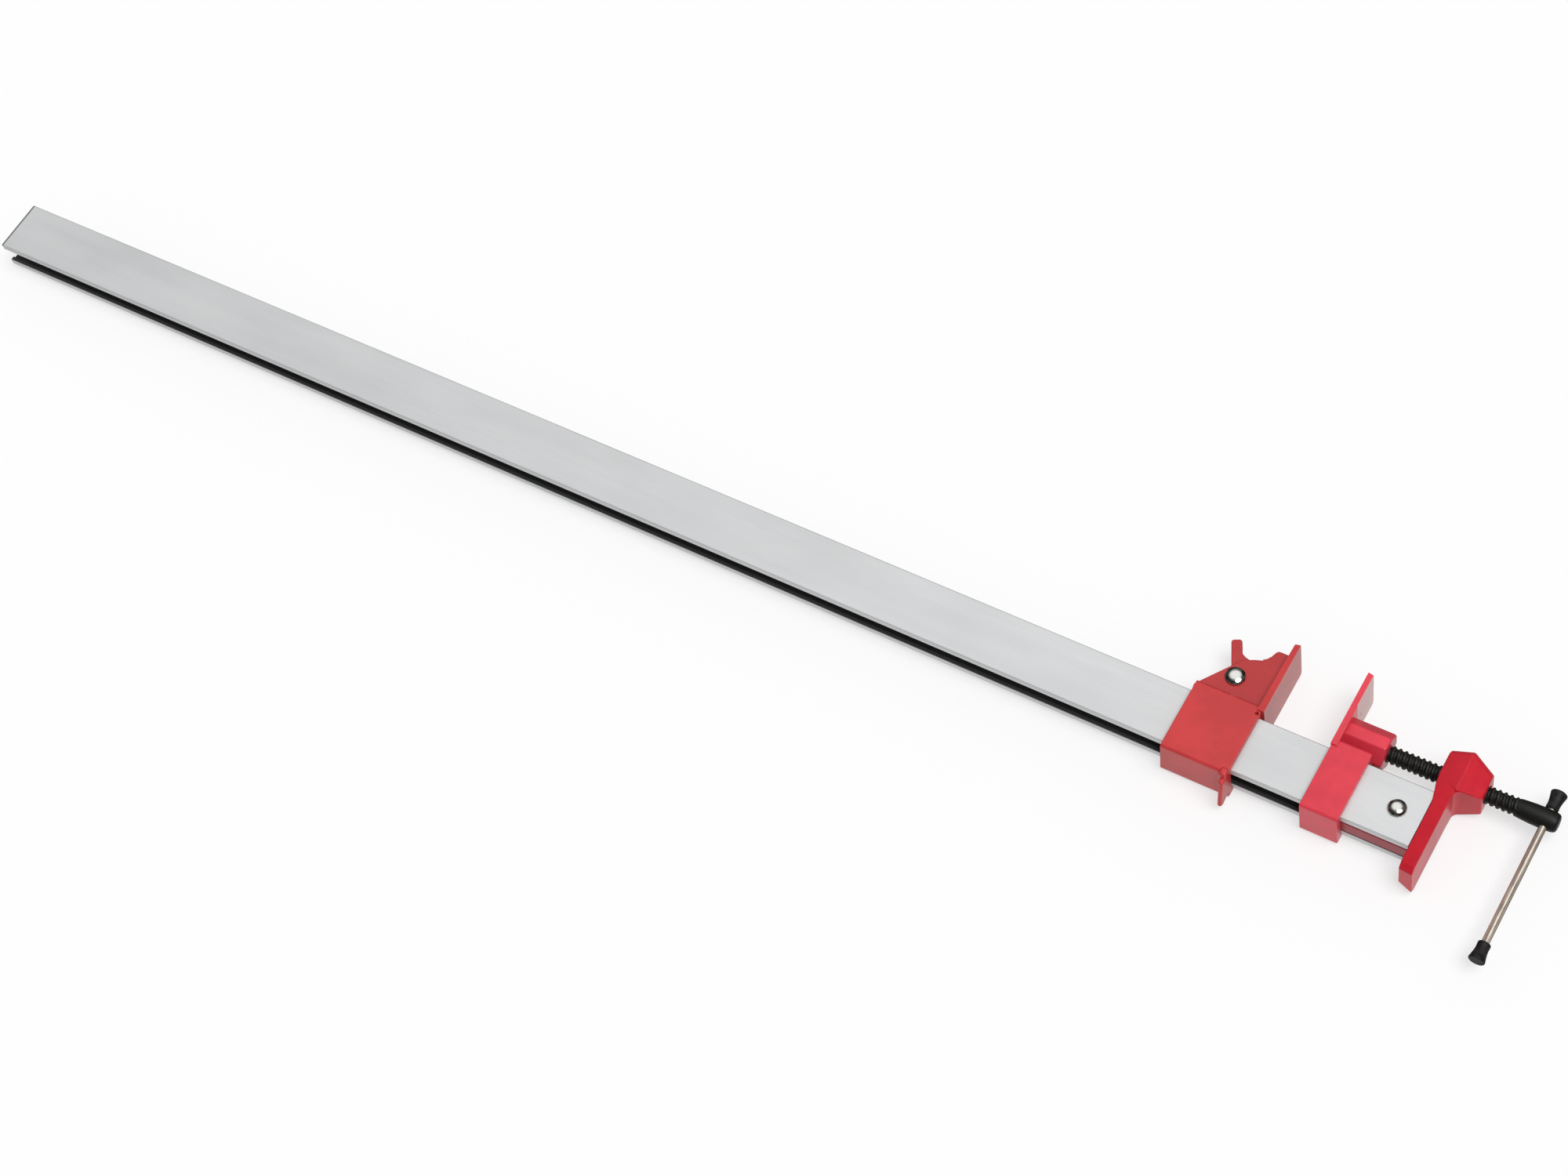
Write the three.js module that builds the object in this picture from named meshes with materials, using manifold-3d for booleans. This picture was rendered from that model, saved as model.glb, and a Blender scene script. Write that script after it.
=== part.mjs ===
// A light aluminium bar clamp in millimetres: a channel bar, a head jaw pushed by a screw and a
// tail jaw that slides along the bar and latches in its notches.
// X runs along the bar towards the screw, Y across the bar towards the jaws, and Z is normal to
// the bar's broad faces. While the pieces are made, the centre of the bar's screw end is zero.
import * as THREE from "three";
import { mergeVertices } from "three/addons/utils/BufferGeometryUtils.js";
import Module from "manifold-3d";

// Fits between pieces
const seatGap = 0.3;
const slideGap = 0.4;
const overrun = 2;
const weldDistance = 0.0004;

// Bar: a channel, its slot in the edge away from the jaws and its notches in the other edge
const barLength = 1066.8;
const barWidth = 38.1;
const barThickness = 22.2;
const barWall = 3.2;
const barLip = 3;
const barSlot = 10.4;
const barCorner = 0.8;
const notchPitch = 25.4;
const notchLength = 9;
const firstNotch = 119.6;
const lastNotchMargin = 30;

// Collars of both jaws
const collarWallAcross = 4.6;
const collarWallOver = 4;
const collarCorner = 1.6;

// Jaw plates
const jawHalfWidth = 17;
const jawCornerCut = 2.4;
const jawDraft = 0.5;

// Tail jaw, measured back from its clamping face and up from the bar's jaw edge
const tailNotch = 1;
const tailPlateTop = 3.8;
const tailPlateRoot = 6.3;
const tailReach = 50.2;
const tailCollarSetback = 2;
const tailCollarLength = 44.9;
const tailPlateRelief = 1.6;
const cheekHalfWidth = 11;
const cheekTop = 44.6;
const cheekSlotWidth = 12;
const cheekSlotFrontSetback = 17;
const cheekOutlineShares = [
  [0, 0.1],
  [0.07, 0.125],
  [0.315, 0.478],
  [0.5, 0.679],
  [0.6, 0.745],
  [0.69, 0.788],
  [0.725, 0.86],
  [0.765, 0.975],
  [0.79, 1],
  [0.93, 1],
];
const footRootThickness = 2.8;
const footTipThickness = 1;
const footSetback = 1.9;
const footDepth = 13;
const footRootHalfWidth = 12;
const footHalfWidth = 10.6;
const footTipHalfWidth = 5;
const footTipLength = 5;

// Lever in the tail jaw: its pivot from the clamping face and above the bar, its own outline
// from the pivot
const leverPivotSetback = 27;
const leverPivotHeight = 18.95;
const leverEyeRadius = 6.5;
const leverHalfWidth = 5.4;
const leverShoulder = 9;
const leverShoulderHalfWidth = 3.4;
const toothSetback = 9.5;
const toothLength = 5;
const toothArmWidth = 7;
const fingerHalfWidth = 4;
const fingerLength = 29;
const fingerThickness = 5.8;
const fingerLeanShare = 0.5;
const leverWeb = 0.6;
const leverSwingRoom = 5.9;

// Torsion spring round the lever's rivet
const springWire = 0.9;
const springRadius = 4.2;
const springPitch = 1.35;
const springTurns = 2.75;
const springLegUp = 11;
const springLegAcross = 8.6;

// Rivets
const rivetShank = 6;
const rivetHead = 10.8;
const rivetHeadHeight = 2.7;
const bracketRivetFromEnd = 15.3;

// Head jaw, measured from its clamping face towards the screw
const headFaceFromEnd = 65.6;
const headPlateTop = 3.2;
const headPlateRoot = 3.6;
const headReach = 49.7;
const headCollarSetback = 0.4;
const headCollarLength = 23.8;
const headBossLength = 29.6;
const headBossRadius = 12.5;
const headBossChamfer = 1.2;

// Screw
const screwHeight = 16.15;
const screwMajor = 11;
const screwThreadDepth = 1.2;
const threadPitch = 3.6;
const threadProfileShares = [
  [0, 0],
  [0.25, 0],
  [0.45, 1],
  [0.75, 1],
];
const threadEnd = 41;
const tipDiameter = 8.8;
const tipLength = 18.4;
const tipGrooveDiameter = 5.2;
const tipGrooveWidth = 3.4;
const tipGrooveFromEnd = 7.6;
const retainingPin = 2.6;
const hubStartDiameter = 11.2;
const hubWaistLength = 15.6;
const hubWaistDiameter = 12.4;
const hubEndDiameter = 10.4;
const hubTaperLength = 9.6;
const hubRound = 1.4;

// Handle
const handleFromHubEnd = 7.2;
const handleDiameter = 4.8;
const handleBelow = 97.3;
const capLength = 11.7;
const capMouthDiameter = 7.4;
const capEndDiameter = 10;
const capWaistShare = 0.3;
const capBoreDepth = 9;
const capRound = 1;

// End bracket: a plate over the bar's end, a drafted boss for the screw and a tongue in the channel
const bracketGap = 0.4;
const partingFromEnd = 10;
const bracketPlate = 9.5;
const bracketFootAtBar = 13.75;
const bracketFootAtParting = 15.95;
const bracketHeadAtBar = 29.2;
const bracketHeadAtParting = 31.95;
const bracketHalfWidthAtBar = 12;
const bracketHalfWidth = 14.8;
const bracketCut = 3.4;
const bossOverhang = 3.2;
const bossStartTop = 29;
const bossStartUnderside = 2.6;
const bossStartHalfWidth = 12;
const bossHalfWidth = 16.3;
const bossUnderside = 3.45;
const bossEnd = 23.5;
const bossEndHalfWidth = 10.5;
const bossEndUnderside = 7.65;
const bossEndTop = 25.45;
const bossCut = 3;
const bossRound = 1.1;
const filletRadius = 5;
const tongueLength = 52;

// How finely round shapes are stepped
const fineSides = 32;
const roundSides = 24;
const wireSides = 5;
const curlSteps = 8;
const threadSides = 20;
const cornerSteps = 3;
const bossSides = 8;
const domeSteps = 5;
const tipSteps = 6;

const red = new THREE.MeshStandardMaterial({ color: 0xc8394a, roughness: 0.35, metalness: 0.1 });
const aluminium = new THREE.MeshStandardMaterial({ color: 0xcdd1d2, roughness: 0.45, metalness: 0.8 });
const blackSteel = new THREE.MeshStandardMaterial({ color: 0x1c1d1f, roughness: 0.6, metalness: 0.3 });
const brightSteel = new THREE.MeshStandardMaterial({ color: 0xb9b4a8, roughness: 0.3, metalness: 1 });
const chrome = new THREE.MeshStandardMaterial({ color: 0xe4e2da, roughness: 0.1, metalness: 1 });
const rubber = new THREE.MeshStandardMaterial({ color: 0x202123, roughness: 0.7, metalness: 0 });
const springSteel = new THREE.MeshStandardMaterial({ color: 0x8d8f92, roughness: 0.35, metalness: 1 });

const barEdge = barWidth / 2;
const barFace = barThickness / 2;
const screwY = barEdge + screwHeight;
const collarEdge = barEdge + slideGap + collarWallAcross;
const collarFace = barFace + slideGap + collarWallOver;

const wasm = await Module();
wasm.setup();

// A closed geometry as a solid that can be joined and cut; faces that a weld has flattened go.
function solid(geometry) {
  const bare = geometry.index ? geometry.toNonIndexed() : geometry.clone();
  bare.deleteAttribute("normal");
  bare.deleteAttribute("uv");
  const welded = mergeVertices(bare, weldDistance);
  const corners = welded.index.array;
  const kept = [];
  for (let i = 0; i < corners.length; i += 3) {
    const [a, b, c] = corners.slice(i, i + 3);
    if (a !== b && b !== c && c !== a) kept.push(a, b, c);
  }
  return new wasm.Manifold(
    new wasm.Mesh({
      numProp: 3,
      vertProperties: welded.attributes.position.array,
      triVerts: new Uint32Array(kept),
    }),
  );
}

function join(...solids) {
  return solids.reduce((whole, one) => whole.add(one));
}

function cut(whole, ...tools) {
  return tools.reduce((left, tool) => left.subtract(tool), whole);
}

function mesh(name, shape, material) {
  const made = shape.getMesh();
  const geometry = new THREE.BufferGeometry();
  geometry.setAttribute("position", new THREE.BufferAttribute(new Float32Array(made.vertProperties), 3));
  geometry.setIndex(new THREE.BufferAttribute(new Uint32Array(made.triVerts), 1));
  const flat = geometry.toNonIndexed();
  flat.computeVertexNormals();
  const piece = new THREE.Mesh(flat, material);
  piece.name = name;
  return piece;
}

function block([x0, x1], [y0, y1], [z0, z1]) {
  const box = new THREE.BoxGeometry(x1 - x0, y1 - y0, z1 - z0);
  box.translate((x0 + x1) / 2, (y0 + y1) / 2, (z0 + z1) / 2);
  return solid(box);
}

// A round bar along an axis, through the given centre.
function rod(axis, diameter, from, to, centre, sides = roundSides) {
  const cylinder = new THREE.CylinderGeometry(diameter / 2, diameter / 2, to - from, sides);
  cylinder.translate(0, (from + to) / 2, 0);
  return solid(turnTo(axis, cylinder, centre));
}

// A turned shape: its profile holds [radius, distance along the axis], from axis to axis.
function turned(axis, profile, centre, sides = roundSides) {
  const points = profile.map(([radius, along]) => new THREE.Vector2(radius, along));
  return solid(turnTo(axis, new THREE.LatheGeometry(points, sides), centre));
}

function turnTo(axis, geometry, centre) {
  if (axis === "x") geometry.rotateZ(-Math.PI / 2);
  if (axis === "z") geometry.rotateX(Math.PI / 2);
  return geometry.translate(...centre);
}

function shapeOf(outline) {
  if (outline instanceof THREE.Shape) return outline;
  return new THREE.Shape(outline.map(([x, y]) => new THREE.Vector2(x, y)));
}

// An outline of [x, y] points, or a Shape, made thick from z0 to z1.
function slab(outline, z0, z1) {
  const thick = new THREE.ExtrudeGeometry(shapeOf(outline), { depth: z1 - z0, bevelEnabled: false });
  return solid(thick.translate(0, 0, z0));
}

// The same along the bar: the outline lies in Y and Z and runs from x0 to x1.
function beam(outline, x0, x1) {
  const options = { depth: x1 - x0, bevelEnabled: false, curveSegments: cornerSteps };
  const long = new THREE.ExtrudeGeometry(shapeOf(outline), options);
  const [y, z, x] = [new THREE.Vector3(0, 1, 0), new THREE.Vector3(0, 0, 1), new THREE.Vector3(1, 0, 0)];
  long.applyMatrix4(new THREE.Matrix4().makeBasis(y, z, x));
  return solid(long.translate(x0, 0, 0));
}

function roundedRectangle(halfWide, halfHigh, radius) {
  const shape = new THREE.Shape();
  shape.absarc(halfWide - radius, halfHigh - radius, radius, 0, Math.PI / 2);
  shape.absarc(radius - halfWide, halfHigh - radius, radius, Math.PI / 2, Math.PI);
  shape.absarc(radius - halfWide, radius - halfHigh, radius, Math.PI, 1.5 * Math.PI);
  shape.absarc(halfWide - radius, radius - halfHigh, radius, 1.5 * Math.PI, 2 * Math.PI);
  return shape;
}

// Rings with equal counts of points, joined one to the next and closed at both ends.
function loft(rings) {
  const count = rings[0].length;
  const corners = [];
  for (let r = 0; r + 1 < rings.length; r += 1) {
    for (let i = 0; i < count; i += 1) {
      const next = (i + 1) % count;
      corners.push(rings[r][i], rings[r][next], rings[r + 1][next]);
      corners.push(rings[r][i], rings[r + 1][next], rings[r + 1][i]);
    }
  }
  const last = rings[rings.length - 1];
  for (let i = 1; i + 1 < count; i += 1) {
    corners.push(rings[0][0], rings[0][i + 1], rings[0][i]);
    corners.push(last[0], last[i], last[i + 1]);
  }
  const geometry = new THREE.BufferGeometry();
  geometry.setAttribute("position", new THREE.Float32BufferAttribute(corners.flat(), 3));
  return solid(geometry);
}

// A rectangle with cut corners in Y and Z at one place along the bar, as a ring for a loft.
function cutRectangle(x, y0, y1, halfWide, cutY, cutZ = cutY) {
  return [
    [x, y1, halfWide - cutZ],
    [x, y1 - cutY, halfWide],
    [x, y0 + cutY, halfWide],
    [x, y0, halfWide - cutZ],
    [x, y0, cutZ - halfWide],
    [x, y0 + cutY, -halfWide],
    [x, y1 - cutY, -halfWide],
    [x, y1, cutZ - halfWide],
  ];
}

// Regular ring with a flat on top, measured over its corners, about the screw's axis.
function facetedRing(x, radius, sides) {
  return Array.from({ length: sides }, (_, i) => {
    const angle = ((0.5 - i) * 2 * Math.PI) / sides;
    return [x, screwY + radius * Math.sin(angle), radius * Math.cos(angle)];
  });
}

// One unbroken tube through points, its section a ring of few sides carried along without twist.
function tube(points, diameter, sides) {
  const path = points.map((p) => new THREE.Vector3(...p));
  const direction = (i) =>
    path[Math.min(i + 1, path.length - 1)].clone().sub(path[Math.max(i - 1, 0)]).normalize();
  const side = new THREE.Vector3(0, 0, 1).cross(direction(0)).normalize();
  const rings = path.map((point, i) => {
    const ahead = direction(i);
    side.addScaledVector(ahead, -side.dot(ahead)).normalize();
    const other = new THREE.Vector3().crossVectors(ahead, side);
    return Array.from({ length: sides }, (_, k) => {
      const angle = (-k * 2 * Math.PI) / sides;
      const radius = diameter / 2;
      return point
        .clone()
        .addScaledVector(side, radius * Math.cos(angle))
        .addScaledVector(other, radius * Math.sin(angle))
        .toArray();
    });
  });
  return loft(rings.map((ring) => [...ring].reverse()));
}

// Bar
const notchHalfWidth = leverHalfWidth + slideGap;
const notchCount = 1 + Math.floor((barLength - firstNotch - lastNotchMargin) / notchPitch);

function makeBar() {
  const outside = beam(roundedRectangle(barEdge, barFace, barCorner), -barLength, 0);
  const length = [-barLength - overrun, overrun];
  const channelHalf = barFace - barWall;
  const channel = block(length, [barLip - barEdge, barEdge - barWall], [-channelHalf, channelHalf]);
  const slot = block(length, [-barEdge - overrun, barLip + overrun - barEdge], [-barSlot / 2, barSlot / 2]);
  const hole = rod("z", rivetShank + 2 * seatGap, -barFace - overrun, barFace + overrun, [
    -bracketRivetFromEnd,
    0,
    0,
  ]);
  const notches = Array.from({ length: notchCount }, (_, i) => {
    const x = -firstNotch - i * notchPitch;
    return block(
      [x - notchLength / 2, x + notchLength / 2],
      [barEdge - barWall - overrun, barEdge + overrun],
      [-notchHalfWidth, notchHalfWidth],
    );
  });
  return cut(outside, channel, slot, hole, ...notches);
}

// A collar that slides along the bar, from x0 to x1
function collar(x0, x1) {
  return beam(roundedRectangle(collarEdge, collarFace, collarCorner), x0, x1);
}

function collarBore(x0, x1) {
  const halfAcross = barEdge + slideGap;
  const halfOver = barFace + slideGap;
  return block([x0 - overrun, x1 + overrun], [-halfAcross, halfAcross], [-halfOver, halfOver]);
}

// Jaw plate, widest at its clamping face, drafted towards its back and thicker at its root.
// Its back lies to the side given by 1 or -1.
function jawPlate(face, side, [root, top], foot, reach) {
  const tip = barEdge + reach;
  const outline = (draft) => [
    [tip - draft, jawHalfWidth - jawCornerCut - draft],
    [tip - jawCornerCut - draft, jawHalfWidth - draft],
    [foot, jawHalfWidth - draft],
    [foot, draft - jawHalfWidth],
    [tip - jawCornerCut - draft, draft - jawHalfWidth],
    [tip - draft, draft + jawCornerCut - jawHalfWidth],
  ];
  const thickness = (y) => THREE.MathUtils.mapLinear(y, foot, tip, root, top);
  const front = outline(0).map(([y, z]) => [face, y, z]);
  const back = outline(jawDraft).map(([y, z]) => [face + side * thickness(y), y, z]);
  return loft(side > 0 ? [front, back] : [back, front]);
}

// Rivet with a domed head at each end of its shank, along Z
function makeRivet(x, y, halfGrip) {
  const headSeat = halfGrip + seatGap;
  const headRadius = rivetHead / 2;
  const dome = Array.from({ length: domeSteps + 1 }, (_, i) => {
    const angle = (i / domeSteps) * (Math.PI / 2);
    return [headRadius * Math.cos(angle), headSeat + rivetHeadHeight * Math.sin(angle)];
  });
  const half = [[rivetShank / 2, headSeat], ...dome];
  const other = half.map(([radius, along]) => [radius, -along]).reverse();
  return turned("z", [...other, ...half], [x, y, 0]);
}

// Tail jaw
const toothFromFace = leverPivotSetback + toothSetback;
const tailFace = -firstNotch - tailNotch * notchPitch + toothFromFace;
const pivotX = tailFace - leverPivotSetback;
const pivotY = barEdge + leverPivotHeight;
const tailCollarEnd = tailFace - tailCollarSetback;
const tailCollarStart = tailCollarEnd - tailCollarLength;
const ledgeTop = pivotY + springRadius - springWire / 2 - seatGap;

function cheekOutline() {
  const front = tailFace - tailPlateTop / 2;
  const length = front - tailCollarStart;
  const root = barEdge + slideGap + collarWallAcross / 2;
  const top = barEdge + cheekTop;
  const crest = cheekOutlineShares.map(([along, up]) => [
    tailCollarStart + along * length,
    collarEdge + up * (top - collarEdge),
  ]);
  return [[tailCollarStart, root], [front, root], [front, top], ...crest.reverse()];
}

function makeTailJaw() {
  const body = collar(tailCollarStart, tailCollarEnd);
  const plateFoot = barEdge + slideGap + tailPlateRelief;
  const plate = jawPlate(tailFace, -1, [tailPlateRoot, tailPlateTop], plateFoot, tailReach);
  const cheeks = slab(cheekOutline(), -cheekHalfWidth, cheekHalfWidth);
  const footFront = tailFace - footSetback;
  const footRing = (y, thickness, halfWidth) => [
    [footFront, y, halfWidth],
    [footFront - thickness, y, halfWidth],
    [footFront - thickness, y, -halfWidth],
    [footFront, y, -halfWidth],
  ];
  const foot = loft([
    footRing(collarWallAcross / 2 - collarEdge, footRootThickness, footRootHalfWidth),
    footRing(footTipLength - footDepth - collarEdge, footTipThickness, footHalfWidth),
    footRing(-footDepth - collarEdge, footTipThickness, footTipHalfWidth),
  ]);
  const slotHalf = cheekSlotWidth / 2;
  const slotFront = tailFace - cheekSlotFrontSetback;
  const ledgeBack = pivotX + leverEyeRadius + seatGap;
  const slotRear = pivotX - toothSetback - toothLength / 2 - leverSwingRoom;
  const well = block(
    [slotRear, ledgeBack],
    [barEdge - overrun, barEdge + cheekTop + overrun],
    [-slotHalf, slotHalf],
  );
  const rearSlot = block(
    [tailCollarStart - overrun, slotRear + overrun],
    [collarEdge, barEdge + cheekTop + overrun],
    [-slotHalf, slotHalf],
  );
  const shelf = block(
    [ledgeBack - overrun, slotFront],
    [ledgeTop, barEdge + cheekTop + overrun],
    [-slotHalf, slotHalf],
  );
  const through = cheekHalfWidth + overrun;
  const pivotHole = rod("z", rivetShank + 2 * seatGap, -through, through, [pivotX, pivotY, 0]);
  const casting = join(body, plate, cheeks, foot);
  return cut(casting, collarBore(tailCollarStart, tailFace), well, rearSlot, shelf, pivotHole);
}

// Lever, about its pivot
function makeLever() {
  const toothFoot = barEdge + seatGap - pivotY;
  const toothBack = -toothSetback - toothLength / 2;
  const toothFront = -toothSetback + toothLength / 2;
  const eye = turned(
    "z",
    [
      [0, -leverHalfWidth],
      [leverEyeRadius, -leverHalfWidth],
      [leverEyeRadius, leverHalfWidth],
      [0, leverHalfWidth],
    ],
    [0, 0, 0],
  );
  const arm = slab(
    [
      [toothBack, toothFoot],
      [toothFront, toothFoot],
      [toothFront, toothFoot + toothArmWidth],
      [0, -leverEyeRadius],
      [0, 0],
      [-leverEyeRadius, 0],
      [toothBack, toothFoot + toothArmWidth],
    ],
    -leverHalfWidth,
    leverHalfWidth,
  );
  const lean = new THREE.Vector2(-fingerLeanShare, 1).normalize();
  const across = new THREE.Vector2(lean.y, -lean.x).multiplyScalar(fingerThickness / 2);
  const root = new THREE.Vector2(-leverShoulderHalfWidth / 4, leverEyeRadius / 2);
  const tip = root.clone().addScaledVector(lean, fingerLength - fingerThickness);
  const round = Array.from({ length: tipSteps + 1 }, (_, i) => {
    const angle = (i / tipSteps) * Math.PI;
    const spot = tip
      .clone()
      .addScaledVector(across, Math.cos(angle))
      .addScaledVector(lean, (Math.sin(angle) * fingerThickness) / 2);
    return [spot.x, spot.y];
  });
  const finger = slab(
    [[root.x - across.x, root.y - across.y], [root.x + across.x, root.y + across.y], ...round],
    -fingerHalfWidth,
    fingerHalfWidth,
  );
  const shoulder = slab(
    [
      [-leverEyeRadius, 0],
      [leverShoulderHalfWidth, 0],
      [leverShoulderHalfWidth, leverShoulder],
      [-leverShoulderHalfWidth, leverShoulder + leverShoulderHalfWidth],
      [-leverShoulderHalfWidth - leverEyeRadius / 2, leverShoulder],
    ],
    -fingerHalfWidth,
    fingerHalfWidth,
  );
  const through = leverHalfWidth + overrun;
  const bore = rod("z", rivetShank + 2 * seatGap, -through, through, [0, 0, 0]);
  const springRoom = 2 * (leverEyeRadius + springWire);
  const springSeat = rod("z", springRoom, leverWeb, through, [0, 0, 0]);
  return cut(join(eye, arm, finger, shoulder), bore, springSeat);
}

// Torsion spring about the pivot: a leg up the lever, a coil, and a leg across to the ledge
function springPath() {
  const start = leverWeb + seatGap + springWire / 2;
  const steps = springTurns * curlSteps;
  const coil = Array.from({ length: steps + 1 }, (_, i) => {
    const angle = (-i * 2 * Math.PI) / curlSteps;
    return [
      springRadius * Math.cos(angle),
      springRadius * Math.sin(angle),
      start + (i * springPitch) / curlSteps,
    ];
  });
  const end = start + springTurns * springPitch;
  return [[springRadius, springLegUp, start], ...coil, [springLegAcross, springRadius, end]];
}

// The least gap of the coil to itself, on points a turn or more apart
function springSelfGap(path) {
  const points = path.map((p) => new THREE.Vector3(...p));
  let least = Infinity;
  for (let i = 0; i < points.length; i += 1) {
    for (let k = i + curlSteps - 1; k < points.length; k += 1) {
      least = Math.min(least, points[i].distanceTo(points[k]) - springWire);
    }
  }
  return least;
}

// Head jaw
const headFace = -headFaceFromEnd;
const headCollarStart = headFace + headCollarSetback;
const headBossEnd = headFace + headBossLength;
const threadStart = headBossEnd;
const tipEnd = threadStart - tipLength;
const grooveX = tipEnd + tipGrooveFromEnd;
const pinY = screwY - (tipGrooveDiameter + retainingPin) / 2 - seatGap;
const pinReach = headBossRadius / 2;

function makeHeadJaw() {
  const collarEnd = headCollarStart + headCollarLength;
  const plate = jawPlate(headFace, 1, [headPlateRoot, headPlateTop], barEdge + slideGap, headReach);
  const boss = loft([
    facetedRing(headFace + headPlateTop / 2, headBossRadius, bossSides),
    facetedRing(headBossEnd - headBossChamfer, headBossRadius, bossSides),
    facetedRing(headBossEnd, headBossRadius - headBossChamfer, bossSides),
  ]);
  const bore = rod("x", tipDiameter + 2 * seatGap, tipEnd - seatGap, headBossEnd + overrun, [0, screwY, 0]);
  const pinHole = rod("z", retainingPin + 2 * seatGap, -headBossRadius - overrun, pinReach + seatGap, [
    grooveX,
    pinY,
    0,
  ]);
  const casting = join(collar(headCollarStart, collarEnd), plate, boss);
  return cut(casting, collarBore(headFace, collarEnd), bore, pinHole);
}

// Coarse rolled thread: its rows climb one pitch in each round, so that the last column of a row
// meets the first column of the row one turn on, and they flatten into the core at both ends.
function threadedRod(x0, x1) {
  const core = screwMajor / 2 - screwThreadDepth;
  const profile = threadProfileShares.map(([along, height]) => [along, core + height * screwThreadDepth]);
  const spot = (row, column) => {
    const [share, radius] = profile[row % profile.length];
    const turn = Math.floor(row / profile.length) - 1 + column / threadSides;
    const along = x0 + (turn + share) * threadPitch;
    const x = THREE.MathUtils.clamp(along, x0, x1);
    return around(x, x === along ? radius : core, column);
  };
  const around = (x, radius, column) => {
    const angle = ((column % threadSides) * 2 * Math.PI) / threadSides;
    return [x, screwY + radius * Math.cos(angle), radius * Math.sin(angle)];
  };
  const rows = (Math.ceil((x1 - x0) / threadPitch) + 1) * profile.length;
  const corners = [];
  for (let column = 0; column < threadSides; column += 1) {
    for (let row = 0; row < rows; row += 1) {
      const [a, b] = [spot(row, column), spot(row, column + 1)];
      const [c, d] = [spot(row + 1, column + 1), spot(row + 1, column)];
      corners.push(a, b, c, a, c, d);
    }
    corners.push([x0, screwY, 0], around(x0, core, column + 1), around(x0, core, column));
    corners.push([x1, screwY, 0], around(x1, core, column), around(x1, core, column + 1));
  }
  const geometry = new THREE.BufferGeometry();
  geometry.setAttribute("position", new THREE.Float32BufferAttribute(corners.flat(), 3));
  return solid(geometry);
}

// Screw and its hub, one forged piece
const hubWaist = threadEnd + hubWaistLength;
const hubShoulder = hubWaist + hubTaperLength;
const hubEnd = hubShoulder + hubRound;
const handleX = hubEnd - handleFromHubEnd;

function makeScrew() {
  const thread = threadedRod(threadStart + seatGap, threadEnd);
  const groove = tipGrooveWidth / 2;
  const tip = turned(
    "x",
    [
      [0, tipEnd],
      [tipDiameter / 2, tipEnd],
      [tipDiameter / 2, grooveX - groove],
      [tipGrooveDiameter / 2, grooveX - groove],
      [tipGrooveDiameter / 2, grooveX + groove],
      [tipDiameter / 2, grooveX + groove],
      [tipDiameter / 2, threadStart + overrun],
      [0, threadStart + overrun],
    ],
    [0, screwY, 0],
    roundSides,
  );
  const hub = turned(
    "x",
    [
      [0, threadEnd - overrun],
      [hubStartDiameter / 2 - screwThreadDepth, threadEnd - overrun / 2],
      [hubStartDiameter / 2, threadEnd],
      [hubWaistDiameter / 2, hubWaist],
      [hubEndDiameter / 2, hubShoulder],
      [hubEndDiameter / 2 - hubRound, hubEnd],
      [0, hubEnd],
    ],
    [0, screwY, 0],
    roundSides,
  );
  const reach = hubWaistDiameter / 2 + overrun;
  const crossHole = rod("y", handleDiameter + 2 * seatGap, screwY - reach, screwY + reach, [handleX, 0, 0]);
  return cut(join(thread, tip, hub), crossHole);
}

function makeRetainingPin() {
  return rod("z", retainingPin, -headBossRadius * Math.cos(Math.PI / bossSides), pinReach, [grooveX, pinY, 0]);
}

// Handle and its caps; each cap is flared, with its closed end outermost
const handleTop = screwY + hubWaistDiameter / 2 + seatGap + capLength;
const handleBottom = screwY - handleBelow;
const capBoreGap = capLength - capBoreDepth;

function makeHandleBar() {
  return rod("y", handleDiameter, handleBottom + capBoreGap + seatGap, handleTop - capBoreGap - seatGap, [
    handleX,
    0,
    0,
  ]);
}

function makeCap(end, side) {
  const mouth = end - side * capLength;
  const floor = mouth + side * capBoreDepth;
  const bore = handleDiameter / 2 + seatGap;
  const profile = [
    [0, floor],
    [bore, floor],
    [bore, mouth],
    [capMouthDiameter / 2, mouth],
    [capMouthDiameter / 2, mouth + side * capLength * capWaistShare],
    [capEndDiameter / 2, end - side * capRound],
    [capEndDiameter / 2 - capRound, end],
    [0, end],
  ];
  return turned("y", side > 0 ? profile : profile.reverse(), [handleX, 0, 0]);
}

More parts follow.
